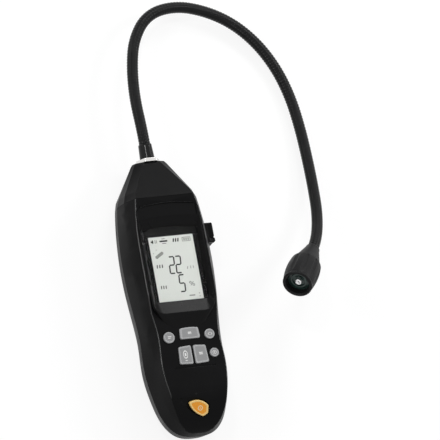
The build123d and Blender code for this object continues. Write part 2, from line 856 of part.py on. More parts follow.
# Contact plates at both ends of the cells
with BuildPart() as battery_contacts:
    for end_y in (box_top_y - box_wall, box_low_y + box_wall + contact_thickness):
        with BuildSketch(cross_plane(end_y)):
            with Locations((-cell_x, box_high_z / 2 + 1.0), (cell_x, box_high_z / 2 + 1.0)):
                Rectangle(2 * cell_radius - 3.0, 4 * cell_radius - 4.0)
        extrude(amount=contact_thickness)
save(battery_contacts, "battery_contacts")

# Screws that join the halves
with BuildPart() as housing_screws:
    with BuildSketch(Plane.XY.offset(screw_head_z - screw_head_height)):
        with Locations(*screw_places):
            Circle(screw_head_radius)
    extrude(amount=screw_head_height)
    with BuildSketch(Plane.XY.offset(screw_head_z)):
        with Locations(*screw_places):
            Circle(screw_radius)
    extrude(amount=screw_tip_z - screw_head_z)
    with BuildSketch(Plane.XY.offset(screw_head_z - screw_head_height)):
        with Locations(*screw_places):
            Rectangle(3.2, 0.7)
            Rectangle(0.7, 3.2)
    extrude(amount=0.9, mode=Mode.SUBTRACT)
save(housing_screws, "housing_screws")

# Earphone socket behind the right wall
with BuildPart() as earphone_socket:
    with BuildSketch(Plane.YZ.offset(port_seat_x)):
        with Locations((socket_y, socket_z)):
            Circle(socket_radius)
    extrude(amount=-socket_length)
    with BuildSketch(Plane.YZ.offset(port_seat_x - 6.2)):
        with Locations((socket_y, socket_z)):
            Rectangle(9.0, 8.0)
    extrude(amount=6.2 - socket_length)
    with BuildSketch(Plane.YZ.offset(port_seat_x)):
        with Locations((socket_y, socket_z)):
            Circle(socket_bore)
    extrude(amount=1.0 - socket_length, mode=Mode.SUBTRACT)
save(earphone_socket, "earphone_socket")

# Cover of the socket, with its knuckle and pin
with BuildPart() as port_cover:
    with BuildSketch(Plane.YZ.offset(port_seat_x + port_cover_gap)):
        with Locations((port_pin_y + port_body_gap, socket_z)):
            Rectangle(
                port_top_y - port_pin_y - port_body_gap,
                port_high_z - port_low_z,
                align=(Align.MIN, Align.CENTER),
            )
    extrude(amount=port_cover_thickness)
    chamfer(port_cover.faces().sort_by(Axis.X)[-1].edges(), 0.8)
    with BuildSketch(Plane.XY.offset(socket_z - port_knuckle_half)):
        with Locations((port_pin_x, port_pin_y)):
            Circle(port_knuckle_radius)
        with Locations((port_pin_x - port_knuckle_radius, port_pin_y)):
            Rectangle(2 * port_knuckle_radius, port_body_gap + 1.0, align=(Align.MIN, Align.MIN))
    extrude(amount=2 * port_knuckle_half)
    with BuildSketch(Plane.XY.offset(port_low_z)):
        with Locations((port_pin_x, port_pin_y)):
            Circle(port_pin_radius + push_clearance)
    extrude(amount=port_high_z - port_low_z, mode=Mode.SUBTRACT)
save(port_cover, "port_cover")

with BuildPart() as port_pin:
    with BuildSketch(Plane.XY.offset(port_low_z)):
        with Locations((port_pin_x, port_pin_y)):
            Circle(port_pin_radius)
    extrude(amount=port_high_z - port_low_z)
save(port_pin, "port_pin")

# Nose
back_half = stations[0][4]
wide_half = stations[0][1]
front_corners = [(stations[0][2], crease_z), (stations[0][3], display_face_z)]
parting_corners = [(back_half + share * (wide_half - back_half), z) for share, z in rear_levels]
lip_corners = [(back_half + share * (wide_half - back_half), z) for share, z in rear_inner_levels]
lip_corners += [front_corners[0], (front_corners[1][0], display_face_z - wall)]
lip_inset = wall + nose_lip_clearance


def nose_lip() -> Part:
    """The lip of the nose that goes into the housing."""
    start_y = parting_y - nose_lip_depth
    reach = nose_lip_depth + nose_lip_thickness / 2
    inner = lip_inset + nose_lip_thickness
    inner_z = nose_lip_clearance + nose_lip_thickness
    with BuildPart() as lip:
        extrude(nose_level(start_y, lip_corners, lip_inset, nose_lip_clearance), amount=-reach)
        extrude(nose_level(start_y, lip_corners, inner, inner_z), amount=-reach, mode=Mode.SUBTRACT)
    return lip.part


with BuildPart() as nose_cone:
    loft(
        [
            nose_level(parting_y, parting_corners + front_corners),
            nose_level(nose_shoulder_y, nose_shoulder),
            nose_level(nose_edge_y, nose_edge),
            nose_level(nose_top_y, nose_tip),
        ],
        ruled=True,
    )
    chamfer([edge for edge in nose_cone.edges() if edge.center().Y < parting_y + 0.01], parting_groove)
    loft(
        [
            nose_level(parting_y, parting_corners + front_corners, nose_wall, nose_wall),
            nose_level(nose_shoulder_y, nose_shoulder, nose_wall, nose_wall),
            nose_level(nose_top_y - nose_tip_wall, nose_edge, nose_wall, nose_wall),
        ],
        ruled=True,
        mode=Mode.SUBTRACT,
    )
    add(nose_lip())
    with BuildSketch(cross_plane(nose_top_y)):
        with Locations((0, neck_axis_z)):
            Circle(ferrule_radius + push_clearance)
    extrude(amount=2 * nose_tip_wall, mode=Mode.SUBTRACT)
save(nose_cone, "nose_cone")

# Fitting of the neck: ferrule through the nose, nuts on both sides, sleeve over it
nut_top_y = nose_top_y + nut_thickness
sleeve_top_y = nut_top_y + sleeve_length
with BuildPart() as neck_ferrule:
    with BuildSketch(cross_plane(nose_top_y - ferrule_depth)):
        with Locations((0, neck_axis_z)):
            Circle(ferrule_radius)
            Circle(neck_radius + push_clearance, mode=Mode.SUBTRACT)
    extrude(amount=-ferrule_depth - nut_thickness - ferrule_reach)
save(neck_ferrule, "neck_ferrule")

with BuildPart() as neck_nut:
    with BuildSketch(cross_plane(nose_top_y)):
        with Locations((0, neck_axis_z)):
            RegularPolygon(nut_across_flats / 2, 6, major_radius=False)
    extrude(amount=-nut_thickness)
    with BuildSketch(cross_plane(nose_top_y)):
        with Locations((0, neck_axis_z)):
            Circle(ferrule_radius + push_clearance)
    extrude(amount=-nut_thickness, mode=Mode.SUBTRACT)
save(neck_nut, "neck_nut")

with BuildPart() as neck_lock_nut:
    with BuildSketch(cross_plane(nose_top_y - nose_tip_wall)):
        with Locations((0, neck_axis_z)):
            RegularPolygon(lock_nut_across_flats / 2, 6, major_radius=False)
            Circle(ferrule_radius + push_clearance, mode=Mode.SUBTRACT)
    extrude(amount=lock_nut_thickness)
save(neck_lock_nut, "neck_lock_nut")

with BuildPart() as neck_sleeve:
    with BuildSketch(Plane(origin=(0, nut_top_y, neck_axis_z), x_dir=(0, 1, 0), z_dir=(0, 0, 1))):
        with BuildLine():
            reach = ferrule_reach + push_clearance
            Polyline(
                (0, -ferrule_radius - push_clearance),
                (0, -sleeve_low_radius),
                (sleeve_length - 2.0, -sleeve_top_radius),
                (sleeve_length - 0.6, -sleeve_top_radius),
                (sleeve_length, -sleeve_top_radius + 0.5),
                (sleeve_length, -neck_radius - push_clearance),
                (reach, -neck_radius - push_clearance),
                (reach, -ferrule_radius - push_clearance),
                (0, -ferrule_radius - push_clearance),
            )
        make_face()
    revolve(axis=Axis((0, nut_top_y, neck_axis_z), (0, 1, 0)))
save(neck_sleeve, "neck_sleeve")


def heading_vector(place: int) -> Vector:
    """The direction of the neck at one point of its route."""
    turn = radians(headings[place])
    rise = radians(rises[place])
    return Vector(cos(turn) * cos(rise), sin(turn) * cos(rise), sin(rise))


# Route of the neck: equal arcs, each tangent to the next
tangents = [heading_vector(place) for place in range(len(headings))]
route_points = [Vector(0, sleeve_top_y, neck_axis_z)]
for start, end in zip(tangents, tangents[1:]):
    bend = radians(start.get_angle(end))
    chord = 2 * arc_length / bend * sin(bend / 2)
    route_points.append(route_points[-1] + (start + end).normalized() * chord)
    print("neck arc radius", round(arc_length / bend, 1))


def neck_arc(place: int) -> Part:
    """One hollow arc of the neck, from a point of the route to the next."""
    start = tangents[place]
    end = tangents[place + 1]
    bend = start.get_angle(end)
    turn_axis = start.cross(end).normalized()
    centre = route_points[place] + turn_axis.cross(start) * (arc_length / radians(bend))
    with BuildPart() as arc:
        with BuildSketch(Plane(origin=route_points[place], z_dir=start)):
            Circle(neck_radius)
            Circle(neck_bore_radius, mode=Mode.SUBTRACT)
        revolve(axis=Axis(centre, turn_axis), revolution_arc=bend)
    return arc.part


def neck_ball(end: Plane) -> Part:
    """The ball at the far end of a stretch, rooted just behind the groove."""
    root = groove_depth + 0.4
    with BuildPart(end) as ball:
        Sphere(ball_radius)
        with BuildSketch(end.offset(-root)):
            Circle(2 * ball_radius)
        extrude(amount=-ball_radius, mode=Mode.SUBTRACT)
        with BuildSketch(end.offset(-root)):
            Circle(ball_bore_radius)
        extrude(amount=root + ball_radius, mode=Mode.SUBTRACT)
    return ball.part


def neck_piece(name: str, first: int, last: int, lead: float = 0.0, tail: float = 0.0) -> None:
    """One stretch of the neck, hollow, with a socket and a ball where it meets others.

    A lead or a tail is a straight run at a fixed end, which has no socket or ball.
    """
    with BuildPart() as piece:
        for place in range(first, last):
            add(neck_arc(place))
        for place, run in ((first, -lead), (last, tail)):
            if run:
                with BuildSketch(Plane(origin=route_points[place], z_dir=tangents[place])):
                    Circle(neck_radius)
                    Circle(neck_bore_radius, mode=Mode.SUBTRACT)
                extrude(amount=run)
        if not lead:
            with Locations(Location(route_points[first])):
                Sphere(ball_radius + ball_clearance, mode=Mode.SUBTRACT)
        if not tail:
            end = Plane(origin=route_points[last], z_dir=tangents[last])
            with BuildSketch(end.offset(0.5)):
                Circle(neck_radius + 1.0)
            extrude(amount=-groove_depth - 0.5, mode=Mode.SUBTRACT)
            add(neck_ball(end))
    save(piece, name)


joint_places = list(range(1, len(headings) - 1, 2))
neck_piece("neck_stub", 0, joint_places[0], lead=nut_thickness + sleeve_length + stub_depth - 0.5)
for number, (first, last) in enumerate(zip(joint_places, joint_places[1:]), start=1):
    neck_piece(f"neck_link_{number}", first, last)
neck_piece("neck_end", joint_places[-1], len(headings) - 1, tail=boot_socket_depth)

# Sensor head, turned about its own axis
head_origin = route_points[-1]
head_axis = Axis(head_origin, tangents[-1])
head_side = tangents[-1].cross(Vector(0, 0, 1)).normalized()


def head_profile_plane() -> Plane:
    """A plane through the head's axis: x runs out along it, y is the radius."""
    return Plane(origin=head_origin, x_dir=tangents[-1], z_dir=head_side)


def head_cross_plane(place: float) -> Plane:
    """A plane across the head at a distance along its axis."""
    return Plane(origin=head_origin + tangents[-1] * place, x_dir=head_side, z_dir=tangents[-1])


head_inner = head_radius - head_wall
with BuildPart() as head_boot:
    with BuildSketch(head_profile_plane()):
        Polygon(
            (0, neck_radius + push_clearance),
            (0, boot_low_radius - 0.5),
            (0.5, boot_low_radius),
            (3.0, boot_low_radius + 0.4),
            (boot_length - 1.2, boot_high_radius),
            (boot_length, boot_high_radius),
            (boot_length, head_inner - push_clearance),
            (boot_length + spigot_length, head_inner - push_clearance),
            (boot_length + spigot_length, head_inner - 1.4),
            (boot_length - 7.0, boot_low_radius),
            (boot_socket_depth + 3.0, neck_bore_radius + 1.0),
            (boot_socket_depth, neck_bore_radius),
            (boot_socket_depth, neck_radius + push_clearance),
            align=None,
        )
    revolve(axis=head_axis)
save(head_boot, "head_boot")

with BuildPart() as head_sleeve:
    with BuildSketch(head_profile_plane()):
        with BuildLine():
            ThreePointArc(
                (boot_length + 0.4, sleeve_back_radius),
                ((boot_length + sleeve_end) / 2 + 1.0, sleeve_belly_radius),
                (sleeve_end, head_radius),
            )
            Polyline(
                (sleeve_end, head_radius),
                (sleeve_end, head_inner),
                (boot_length, head_inner),
                (boot_length, sleeve_back_radius - 0.4),
                (boot_length + 0.4, sleeve_back_radius),
            )
        make_face()
    revolve(axis=head_axis)
    with BuildSketch(head_cross_plane(boot_length + 1.8)):
        with PolarLocations(sleeve_belly_radius + flute_radius - flute_depth, flute_count):
            Circle(flute_radius)
    extrude(amount=sleeve_end - boot_length, mode=Mode.SUBTRACT)
save(head_sleeve, "head_sleeve")

disc_top = disc_at + disc_thickness
with BuildPart() as head_ring:
    with BuildSketch(head_profile_plane()):
        Polygon(
            (sleeve_end, head_radius),
            (ring_end - 0.8, head_radius),
            (ring_end, head_radius - 0.8),
            (ring_end, ring_inner_radius + 0.6),
            (ring_end - 1.2, ring_inner_radius - ring_spigot_wall + 0.6),
            (disc_top, ring_inner_radius - ring_spigot_wall + 0.6),
            (disc_top, head_inner - push_clearance),
            (sleeve_end, head_inner - push_clearance),
            align=None,
        )
    revolve(axis=head_axis)
save(head_ring, "head_ring")

with BuildPart() as sensor_disc:
    with BuildSketch(head_cross_plane(disc_at)):
        Circle(head_inner - push_clearance)
    extrude(amount=disc_thickness)
    with BuildSketch(head_cross_plane(disc_top)):
        Circle(disc_lip_radius)
        Circle(disc_lip_radius - collar_thickness, mode=Mode.SUBTRACT)
    extrude(amount=disc_lip_height)
    with BuildSketch(head_cross_plane(disc_top)):
        Circle(cap_radius + push_clearance + collar_thickness)
        Circle(cap_radius + push_clearance, mode=Mode.SUBTRACT)
    extrude(amount=collar_height)
save(sensor_disc, "sensor_disc")

with BuildPart() as sensor_cap:
    with BuildSketch(head_cross_plane(disc_top)):
        Circle(cap_radius)
    extrude(amount=cap_height)
    chamfer(sensor_cap.faces().sort_by(head_axis)[-1].edges(), 0.4)
    with BuildSketch(head_cross_plane(disc_top + cap_height)):
        Circle(0.55)
    extrude(amount=-1.2, mode=Mode.SUBTRACT)
save(sensor_cap, "sensor_cap")

board_at = boot_length + spigot_length
with BuildPart() as head_board:
    with BuildSketch(head_cross_plane(board_at)):
        Circle(head_inner - push_clearance)
    extrude(amount=head_board_thickness)
save(head_board, "head_board")

with BuildPart() as sensor_cell:
    with BuildSketch(head_cross_plane(board_at + head_board_thickness)):
        Circle(cell_can_radius)
    extrude(amount=disc_at - board_at - head_board_thickness)
save(sensor_cell, "sensor_cell")
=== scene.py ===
"""Looks of a handheld gas leak detector with a gooseneck probe.

The detector lies on its flat back on a pale floor and is seen from above. The fixed
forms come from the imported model; the wound neck, the display's segments, the sunk tops
of the keys and the printed marks are modelled here. Sizes are given in millimetres.
"""
import logging
import math
from dataclasses import dataclass, field
from enum import Enum
from typing import Callable, Iterable

import bpy
from mathutils import Matrix, Vector


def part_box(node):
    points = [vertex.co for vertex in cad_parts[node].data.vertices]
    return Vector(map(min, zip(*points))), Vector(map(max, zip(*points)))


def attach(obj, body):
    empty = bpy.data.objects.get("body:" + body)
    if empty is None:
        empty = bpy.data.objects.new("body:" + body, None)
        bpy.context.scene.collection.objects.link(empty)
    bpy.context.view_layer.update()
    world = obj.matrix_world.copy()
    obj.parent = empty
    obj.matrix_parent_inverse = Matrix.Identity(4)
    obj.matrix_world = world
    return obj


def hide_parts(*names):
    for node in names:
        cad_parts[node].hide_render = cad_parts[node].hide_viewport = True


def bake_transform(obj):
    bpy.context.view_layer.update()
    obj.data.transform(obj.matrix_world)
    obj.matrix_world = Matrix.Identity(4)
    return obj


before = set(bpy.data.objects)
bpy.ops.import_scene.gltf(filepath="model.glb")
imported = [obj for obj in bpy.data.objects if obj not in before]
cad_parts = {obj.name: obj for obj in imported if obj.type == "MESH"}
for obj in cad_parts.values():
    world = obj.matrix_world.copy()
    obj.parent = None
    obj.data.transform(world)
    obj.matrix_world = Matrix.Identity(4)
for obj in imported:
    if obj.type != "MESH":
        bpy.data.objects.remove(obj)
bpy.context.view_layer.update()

MM = 0.001
WELD_DISTANCE = 0.002 * MM
PRINT_DEPTH = 0.05
PANEL_DEPTH = 0.10
FACET_ANGLE = 1.0
RIM_SLOPES = (0.55, 0.97)
RIM_REACH = 23.0
RIM_LEVEL = 36.0
RIM_FACE_AREA = 4.0
PARTING_END = 78.5
COAT_ROUGHNESS = 0.12
BUMP_STRENGTH = 0.35
GREY_KEYS = (
    "key_top",
    "key_left",
    "key_right",
    "key_round_left",
    "key_round_right",
    "key_round_lower",
)
log = logging.getLogger("gas_leak_detector")


class Grain(Enum):
    """How fine the grain of a surface is, in cells per metre."""

    NONE = 0.0
    SILK = 3400.0
    SPARK = 2100.0
    COARSE = 1200.0


class Segment(Enum):
    """The seven strokes of a display digit, as (x, y, upright) in half sizes."""

    TOP = (0.0, 1.0, False)
    TOP_RIGHT = (1.0, 0.5, True)
    LOW_RIGHT = (1.0, -0.5, True)
    BOTTOM = (0.0, -1.0, False)
    LOW_LEFT = (-1.0, -0.5, True)
    TOP_LEFT = (-1.0, 0.5, True)
    MIDDLE = (0.0, 0.0, False)


DIGITS = {
    2: (Segment.TOP, Segment.TOP_RIGHT, Segment.MIDDLE, Segment.LOW_LEFT, Segment.BOTTOM),
    5: (Segment.TOP, Segment.TOP_LEFT, Segment.MIDDLE, Segment.LOW_RIGHT, Segment.BOTTOM),
}


@dataclass(frozen=True)
class Finish:
    """A surface finish with a fine grain and a cloudy change of colour.

    Colours are linear red, green and blue.
    """

    name: str
    colour: tuple[float, float, float]
    second: tuple[float, float, float]
    roughness: float = 0.45
    roughness_spread: float = 0.08
    metallic: float = 0.0
    grain: Grain = Grain.SPARK
    grain_depth: float = 0.05
    cloud_size: float = 40.0
    coat: float = 0.0
    specular: float = 0.5

    def material(self) -> bpy.types.Material:
        """Makes the material, once for each finish.

        Returns:
            The material of that finish.
        """
        made = bpy.data.materials.get(self.name)
        if made is not None:
            return made
        made = bpy.data.materials.new(self.name)
        made.use_nodes = True
        nodes = made.node_tree.nodes
        links = made.node_tree.links
        shader = nodes["Principled BSDF"]
        shader.inputs["Metallic"].default_value = self.metallic
        shader.inputs["Specular IOR Level"].default_value = self.specular
        shader.inputs["Coat Weight"].default_value = self.coat
        shader.inputs["Coat Roughness"].default_value = COAT_ROUGHNESS
        place = nodes.new("ShaderNodeTexCoord")
        cloud = nodes.new("ShaderNodeTexNoise")
        cloud.inputs["Scale"].default_value = self.cloud_size
        cloud.inputs["Detail"].default_value = 5.0
        links.new(place.outputs["Object"], cloud.inputs["Vector"])
        tint = nodes.new("ShaderNodeMix")
        tint.data_type = "RGBA"
        tint.inputs["A"].default_value = (*self.colour, 1.0)
        tint.inputs["B"].default_value = (*self.second, 1.0)
        links.new(cloud.outputs["Fac"], tint.inputs["Factor"])
        links.new(tint.outputs["Result"], shader.inputs["Base Color"])
        spread = nodes.new("ShaderNodeMapRange")
        spread.inputs["From Min"].default_value = 0.3
        spread.inputs["From Max"].default_value = 0.7
        spread.inputs["To Min"].default_value = self.roughness - self.roughness_spread
        spread.inputs["To Max"].default_value = self.roughness + self.roughness_spread
        links.new(cloud.outputs["Fac"], spread.inputs["Value"])
        links.new(spread.outputs["Result"], shader.inputs["Roughness"])
        if self.grain is not Grain.NONE:
            grit = nodes.new("ShaderNodeTexNoise")
            grit.inputs["Scale"].default_value = self.grain.value
            grit.inputs["Detail"].default_value = 3.0
            links.new(place.outputs["Object"], grit.inputs["Vector"])
            bump = nodes.new("ShaderNodeBump")
            bump.inputs["Strength"].default_value = BUMP_STRENGTH
            bump.inputs["Distance"].default_value = self.grain_depth * MM
            links.new(grit.outputs["Fac"], bump.inputs["Height"])
            links.new(bump.outputs["Normal"], shader.inputs["Normal"])
        return made


@dataclass(frozen=True)
class ClearPlate:
    """The clear flat window over the display, with faint smears."""

    name: str = "clear_plate"
    bending: float = 1.12
    smear_size: float = 60.0
    most_roughness: float = 0.06

    def material(self) -> bpy.types.Material:
        """Makes the window's material.

        Returns:
            The clear material.
        """
        made = bpy.data.materials.get(self.name)
        if made is not None:
            return made
        made = bpy.data.materials.new(self.name)
        made.use_nodes = True
        nodes = made.node_tree.nodes
        links = made.node_tree.links
        shader = nodes["Principled BSDF"]
        shader.inputs["Base Color"].default_value = (1.0, 1.0, 1.0, 1.0)
        shader.inputs["Transmission Weight"].default_value = 1.0
        shader.inputs["IOR"].default_value = self.bending
        place = nodes.new("ShaderNodeTexCoord")
        smear = nodes.new("ShaderNodeTexNoise")
        smear.inputs["Scale"].default_value = self.smear_size
        links.new(place.outputs["Object"], smear.inputs["Vector"])
        spread = nodes.new("ShaderNodeMapRange")
        spread.inputs["To Min"].default_value = 0.0
        spread.inputs["To Max"].default_value = self.most_roughness
        links.new(smear.outputs["Fac"], spread.inputs["Value"])
        links.new(spread.outputs["Result"], shader.inputs["Roughness"])
        return made


HOUSING = Finish(
    "housing_black", (0.0022, 0.0022, 0.0024), (0.0040, 0.0040, 0.0043), 0.40, 0.06,
    grain_depth=0.05, specular=0.07,
)
BEZEL = Finish(
    "bezel_black", (0.0020, 0.0020, 0.0022), (0.0036, 0.0036, 0.0039), 0.28, 0.05,
    grain=Grain.SILK, grain_depth=0.02, specular=0.10,
)
# The rim finish is a lighter, glossier copy of the housing black: the gloss is real, the lighter
# colour is a painted highlight along the rounded rim.
RIM_HIGHLIGHT = Finish(
    "housing_rim_highlight", (0.0040, 0.0040, 0.0042), (0.0075, 0.0075, 0.0078), 0.26, 0.05,
    grain=Grain.SILK, grain_depth=0.02, specular=0.45,
)
# The mask black is the printed frame round the display, and on the nose's parting groove its darker
# colour is painted shade.
MASK_AND_GROOVE_SHADE = Finish(
    "mask_print_and_groove_shade", (0.0015, 0.0015, 0.0016), (0.0025, 0.0025, 0.0026), 0.40, 0.03,
    grain=Grain.NONE, specular=0.1,
)
NECK = Finish(
    "neck_black", (0.0026, 0.0026, 0.0029), (0.0050, 0.0050, 0.0054), 0.19, 0.06,
    grain=Grain.SILK, grain_depth=0.015, specular=0.16,
)
GLOSS = Finish(
    "sleeve_gloss", (0.0020, 0.0020, 0.0022), (0.0034, 0.0034, 0.0037), 0.12, 0.03,
    grain=Grain.NONE, specular=0.22,
)
HEAD = Finish(
    "head_black", (0.0050, 0.0050, 0.0053), (0.0085, 0.0085, 0.0090), 0.44, 0.07,
    grain_depth=0.05, specular=0.14,
)
NICKEL = Finish(
    "nickel", (0.78, 0.77, 0.75), (0.68, 0.67, 0.66), 0.22, 0.06, metallic=1.0,
    grain=Grain.SILK, grain_depth=0.01,
)
STEEL = Finish(
    "steel", (0.55, 0.55, 0.56), (0.45, 0.45, 0.46), 0.34, 0.08, metallic=1.0,
    grain=Grain.SILK, grain_depth=0.01,
)
DISPLAY = Finish(
    "display_pale", (0.580, 0.603, 0.566), (0.620, 0.643, 0.606), 0.35, 0.04,
    grain=Grain.COARSE, grain_depth=0.004, cloud_size=14.0,
)
INK = Finish(
    "segment_ink", (0.008, 0.010, 0.008), (0.014, 0.016, 0.014), 0.40, 0.04,
    grain=Grain.NONE, specular=0.2,
)
SOFT_INK = Finish(
    "soft_ink", (0.05, 0.053, 0.049), (0.075, 0.078, 0.072), 0.40, 0.04, grain=Grain.NONE,
)
FAINT_INK = Finish(
    "faint_ink", (0.19, 0.20, 0.185), (0.23, 0.24, 0.22), 0.40, 0.04, grain=Grain.NONE,
)
KEY_GREY = Finish(
    "key_grey", (0.38, 0.385, 0.39), (0.43, 0.435, 0.44), 0.50, 0.06, grain_depth=0.03,
)
KEY_PANEL = Finish(
    "key_panel", (0.255, 0.258, 0.262), (0.300, 0.303, 0.307), 0.52, 0.06, grain_depth=0.05,
)
KEY_PRINT = Finish(
    "key_print", (0.86, 0.86, 0.85), (0.78, 0.78, 0.77), 0.50, 0.05, grain=Grain.SILK,
    grain_depth=0.01,
)
ORANGE = Finish(
    "power_orange", (0.95, 0.42, 0.03), (0.92, 0.32, 0.012), 0.38, 0.05, grain=Grain.SILK,
    grain_depth=0.02, cloud_size=90.0,
)
ORANGE_RIM = Finish(
    "power_rim", (0.97, 0.68, 0.26), (0.95, 0.62, 0.20), 0.36, 0.05, grain=Grain.SILK,
    grain_depth=0.02,
)
ORANGE_PRINT = Finish(
    "power_print", (0.97, 0.74, 0.42), (0.95, 0.68, 0.36), 0.45, 0.05, grain=Grain.NONE,
)
SENSOR = Finish(
    "sensor_dark", (0.004, 0.020, 0.014), (0.003, 0.011, 0.008), 0.20, 0.05,
    grain=Grain.NONE, coat=0.3,
)
SILVER = Finish(
    "sensor_silver", (0.36, 0.365, 0.35), (0.28, 0.285, 0.275), 0.26, 0.06, metallic=0.9,
    grain=Grain.SILK, grain_depth=0.01,
)
BOARD = Finish(
    "board_green", (0.02, 0.11, 0.045), (0.03, 0.14, 0.06), 0.35, 0.08, grain=Grain.COARSE,
    grain_depth=0.02,
)
JACKET = Finish(
    "cell_jacket", (0.03, 0.04, 0.07), (0.04, 0.05, 0.09), 0.30, 0.06, grain=Grain.NONE,
)
INNER = Finish("inner_black", (0.02, 0.02, 0.022), (0.03, 0.03, 0.032), 0.50, 0.08)


def clear() -> None:
    """Deselects everything and leaves edit mode."""
    if bpy.context.mode != "OBJECT":
        bpy.ops.object.mode_set(mode="OBJECT")
    bpy.ops.object.select_all(action="DESELECT")


def focus(*pieces: bpy.types.Object) -> bpy.types.Object:
    """Selects some pieces and makes the first the active one.

    Args:
        pieces: The pieces.

    Returns:
        The first piece.
    """
    clear()
    for piece in pieces:
        piece.select_set(True)
    bpy.context.view_layer.objects.active = pieces[0]
    return pieces[0]


def named(name: str) -> bpy.types.Object:
    """Names the active object and its mesh.

    Args:
        name: The piece's name.

    Returns:
        The active object.
    """
    piece = bpy.context.view_layer.objects.active
    piece.name = name
    piece.data.name = name
    return piece


def settle(piece: bpy.types.Object) -> bpy.types.Object:
    """Puts a piece's place, turn and size into its mesh.

    Args:
        piece: The piece.

    Returns:
        The piece, with its object at the origin.
    """
    focus(piece)
    bpy.ops.object.transform_apply(location=True, rotation=True, scale=True)
    return piece


def smooth(piece: bpy.types.Object, degrees: float = 35.0) -> bpy.types.Object:
    """Shades a piece smooth, apart from its sharp edges.

    Args:
        piece: The piece.
        degrees: The angle from which an edge is sharp.

    Returns:
        The piece.
    """
    focus(piece)
    bpy.ops.object.shade_smooth_by_angle(angle=math.radians(degrees))
    return piece


def soften(piece: bpy.types.Object, width: float, sharp: float = 30.0) -> None:
    """Rounds the sharp edges of a piece.

    Args:
        piece: The piece.
        width: How wide the rounding is, in millimetres.
        sharp: The angle from which an edge is rounded, in degrees.
    """
    focus(piece)
    bevel = piece.modifiers.new("soft_edges", "BEVEL")
    bevel.width = width * MM
    bevel.segments = 2
    bevel.limit_method = "ANGLE"
    bevel.angle_limit = math.radians(sharp)
    bpy.ops.object.modifier_apply(modifier=bevel.name)


def even_shade(piece: bpy.types.Object) -> None:
    """Lets the large flat faces of a piece keep a flat shade.

    Args:
        piece: The piece, smooth already.
    """
    focus(piece)
    weight = piece.modifiers.new("even_shade", "WEIGHTED_NORMAL")
    weight.keep_sharp = True
    weight.weight = 80
    bpy.ops.object.modifier_apply(modifier=weight.name)


def pick_faces(piece: bpy.types.Object, test: Callable[[bpy.types.MeshPolygon], bool]) -> None:
    """Opens a piece in edit mode with some of its faces selected.

    Args:
        piece: The piece.
        test: Says whether a face is wanted.
    """
    focus(piece)
    bpy.ops.object.mode_set(mode="EDIT")
    bpy.ops.mesh.select_mode(type="FACE")
    bpy.ops.mesh.select_all(action="DESELECT")
    bpy.ops.object.mode_set(mode="OBJECT")
    for face in piece.data.polygons:
        face.select = test(face)
    bpy.ops.object.mode_set(mode="EDIT")


def welded(node: str, ending: str, flat_within: float = 0.0) -> bpy.types.Object:
    """Copies a node's form and welds its points.

    Args:
        node: The node.
        ending: What the copy's name gains.
        flat_within: The angle in degrees within which faces are joined; 0 joins none.

    Returns:
        The copy.
    """
    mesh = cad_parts[node].data.copy()
    piece = bpy.data.objects.new(node + ending, mesh)
    bpy.context.scene.collection.objects.link(piece)
    focus(piece)
    bpy.ops.object.mode_set(mode="EDIT")
    bpy.ops.mesh.select_all(action="SELECT")
    bpy.ops.mesh.remove_doubles(threshold=WELD_DISTANCE)
    if flat_within:
        bpy.ops.mesh.dissolve_limited(angle_limit=math.radians(flat_within))
    bpy.ops.object.mode_set(mode="OBJECT")
    return piece


def joined(name: str, forms: list[bpy.types.Object]) -> bpy.types.Object:
    """Joins forms to one piece.

    Args:
        name: The piece's name.
        forms: The forms.

    Returns:
        The joined piece.
    """
    focus(*forms)
    if len(forms) > 1:
        bpy.ops.object.join()
    return named(name)


def dress(
    piece: bpy.types.Object,
    finish: "Finish | ClearPlate",
    body: str,
    nodes: Iterable[str] = (),
) -> bpy.types.Object:
    """Gives a piece its finish and its body, and hides the nodes that it stands for.

    Args:
        piece: The piece.
        finish: Its finish.
        body: The body that it moves with.
        nodes: The nodes that it replaces.

    Returns:
        The piece.
    """
    piece.data.materials.clear()
    piece.data.materials.append(finish.material())
    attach(piece, body)
    if nodes:
        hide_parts(*nodes)
    log.info("%s: %d faces, on %s", piece.name, len(piece.data.polygons), body)
    return piece


def add_finish(piece: bpy.types.Object, finish: Finish, faces: Iterable[int]) -> None:
    """Gives some faces of a dressed piece a second finish.

    Args:
        piece: The piece.
        finish: The second finish.
        faces: The numbers of the faces.
    """
    piece.data.materials.append(finish.material())
    for index in faces:
        piece.data.polygons[index].material_index = 1


def background_rays(tree: bpy.types.NodeTree) -> bpy.types.NodeSocket:
    """Picks the rays that meet the white background: seen, passed on and mirrored ones.

    Args:
        tree: The nodes of a material or a world.

    Returns:
        An output that is 1 for these rays and 0 for others.
    """
    rays = tree.nodes.new("ShaderNodeLightPath")
    picked = rays.outputs["Is Camera Ray"]
    for kind in ("Is Transmission Ray", "Is Glossy Ray"):
        either = tree.nodes.new("ShaderNodeMath")
        either.operation = "MAXIMUM"
        tree.links.new(picked, either.inputs[0])
        tree.links.new(rays.outputs[kind], either.inputs[1])
        picked = either.outputs["Value"]
    return picked


def on_rim(face: bpy.types.MeshPolygon) -> bool:
    """Tells whether a face is on the rounded rim along the sides of the front half, which gets the
    painted highlight.
    """
    sloping = RIM_SLOPES[0] < face.normal.z < RIM_SLOPES[1]
    outside = abs(face.center.x) > RIM_REACH * MM and face.center.z > RIM_LEVEL * MM
    small = face.area < RIM_FACE_AREA * MM * MM
    return sloping and outside and small


def in_parting(face: bpy.types.MeshPolygon) -> bool:
    """Tells whether a face of the nose lies along the groove where it meets the halves; these faces
    get a darker black, painted shade in the groove.
    """
    return face.center.y < PARTING_END * MM


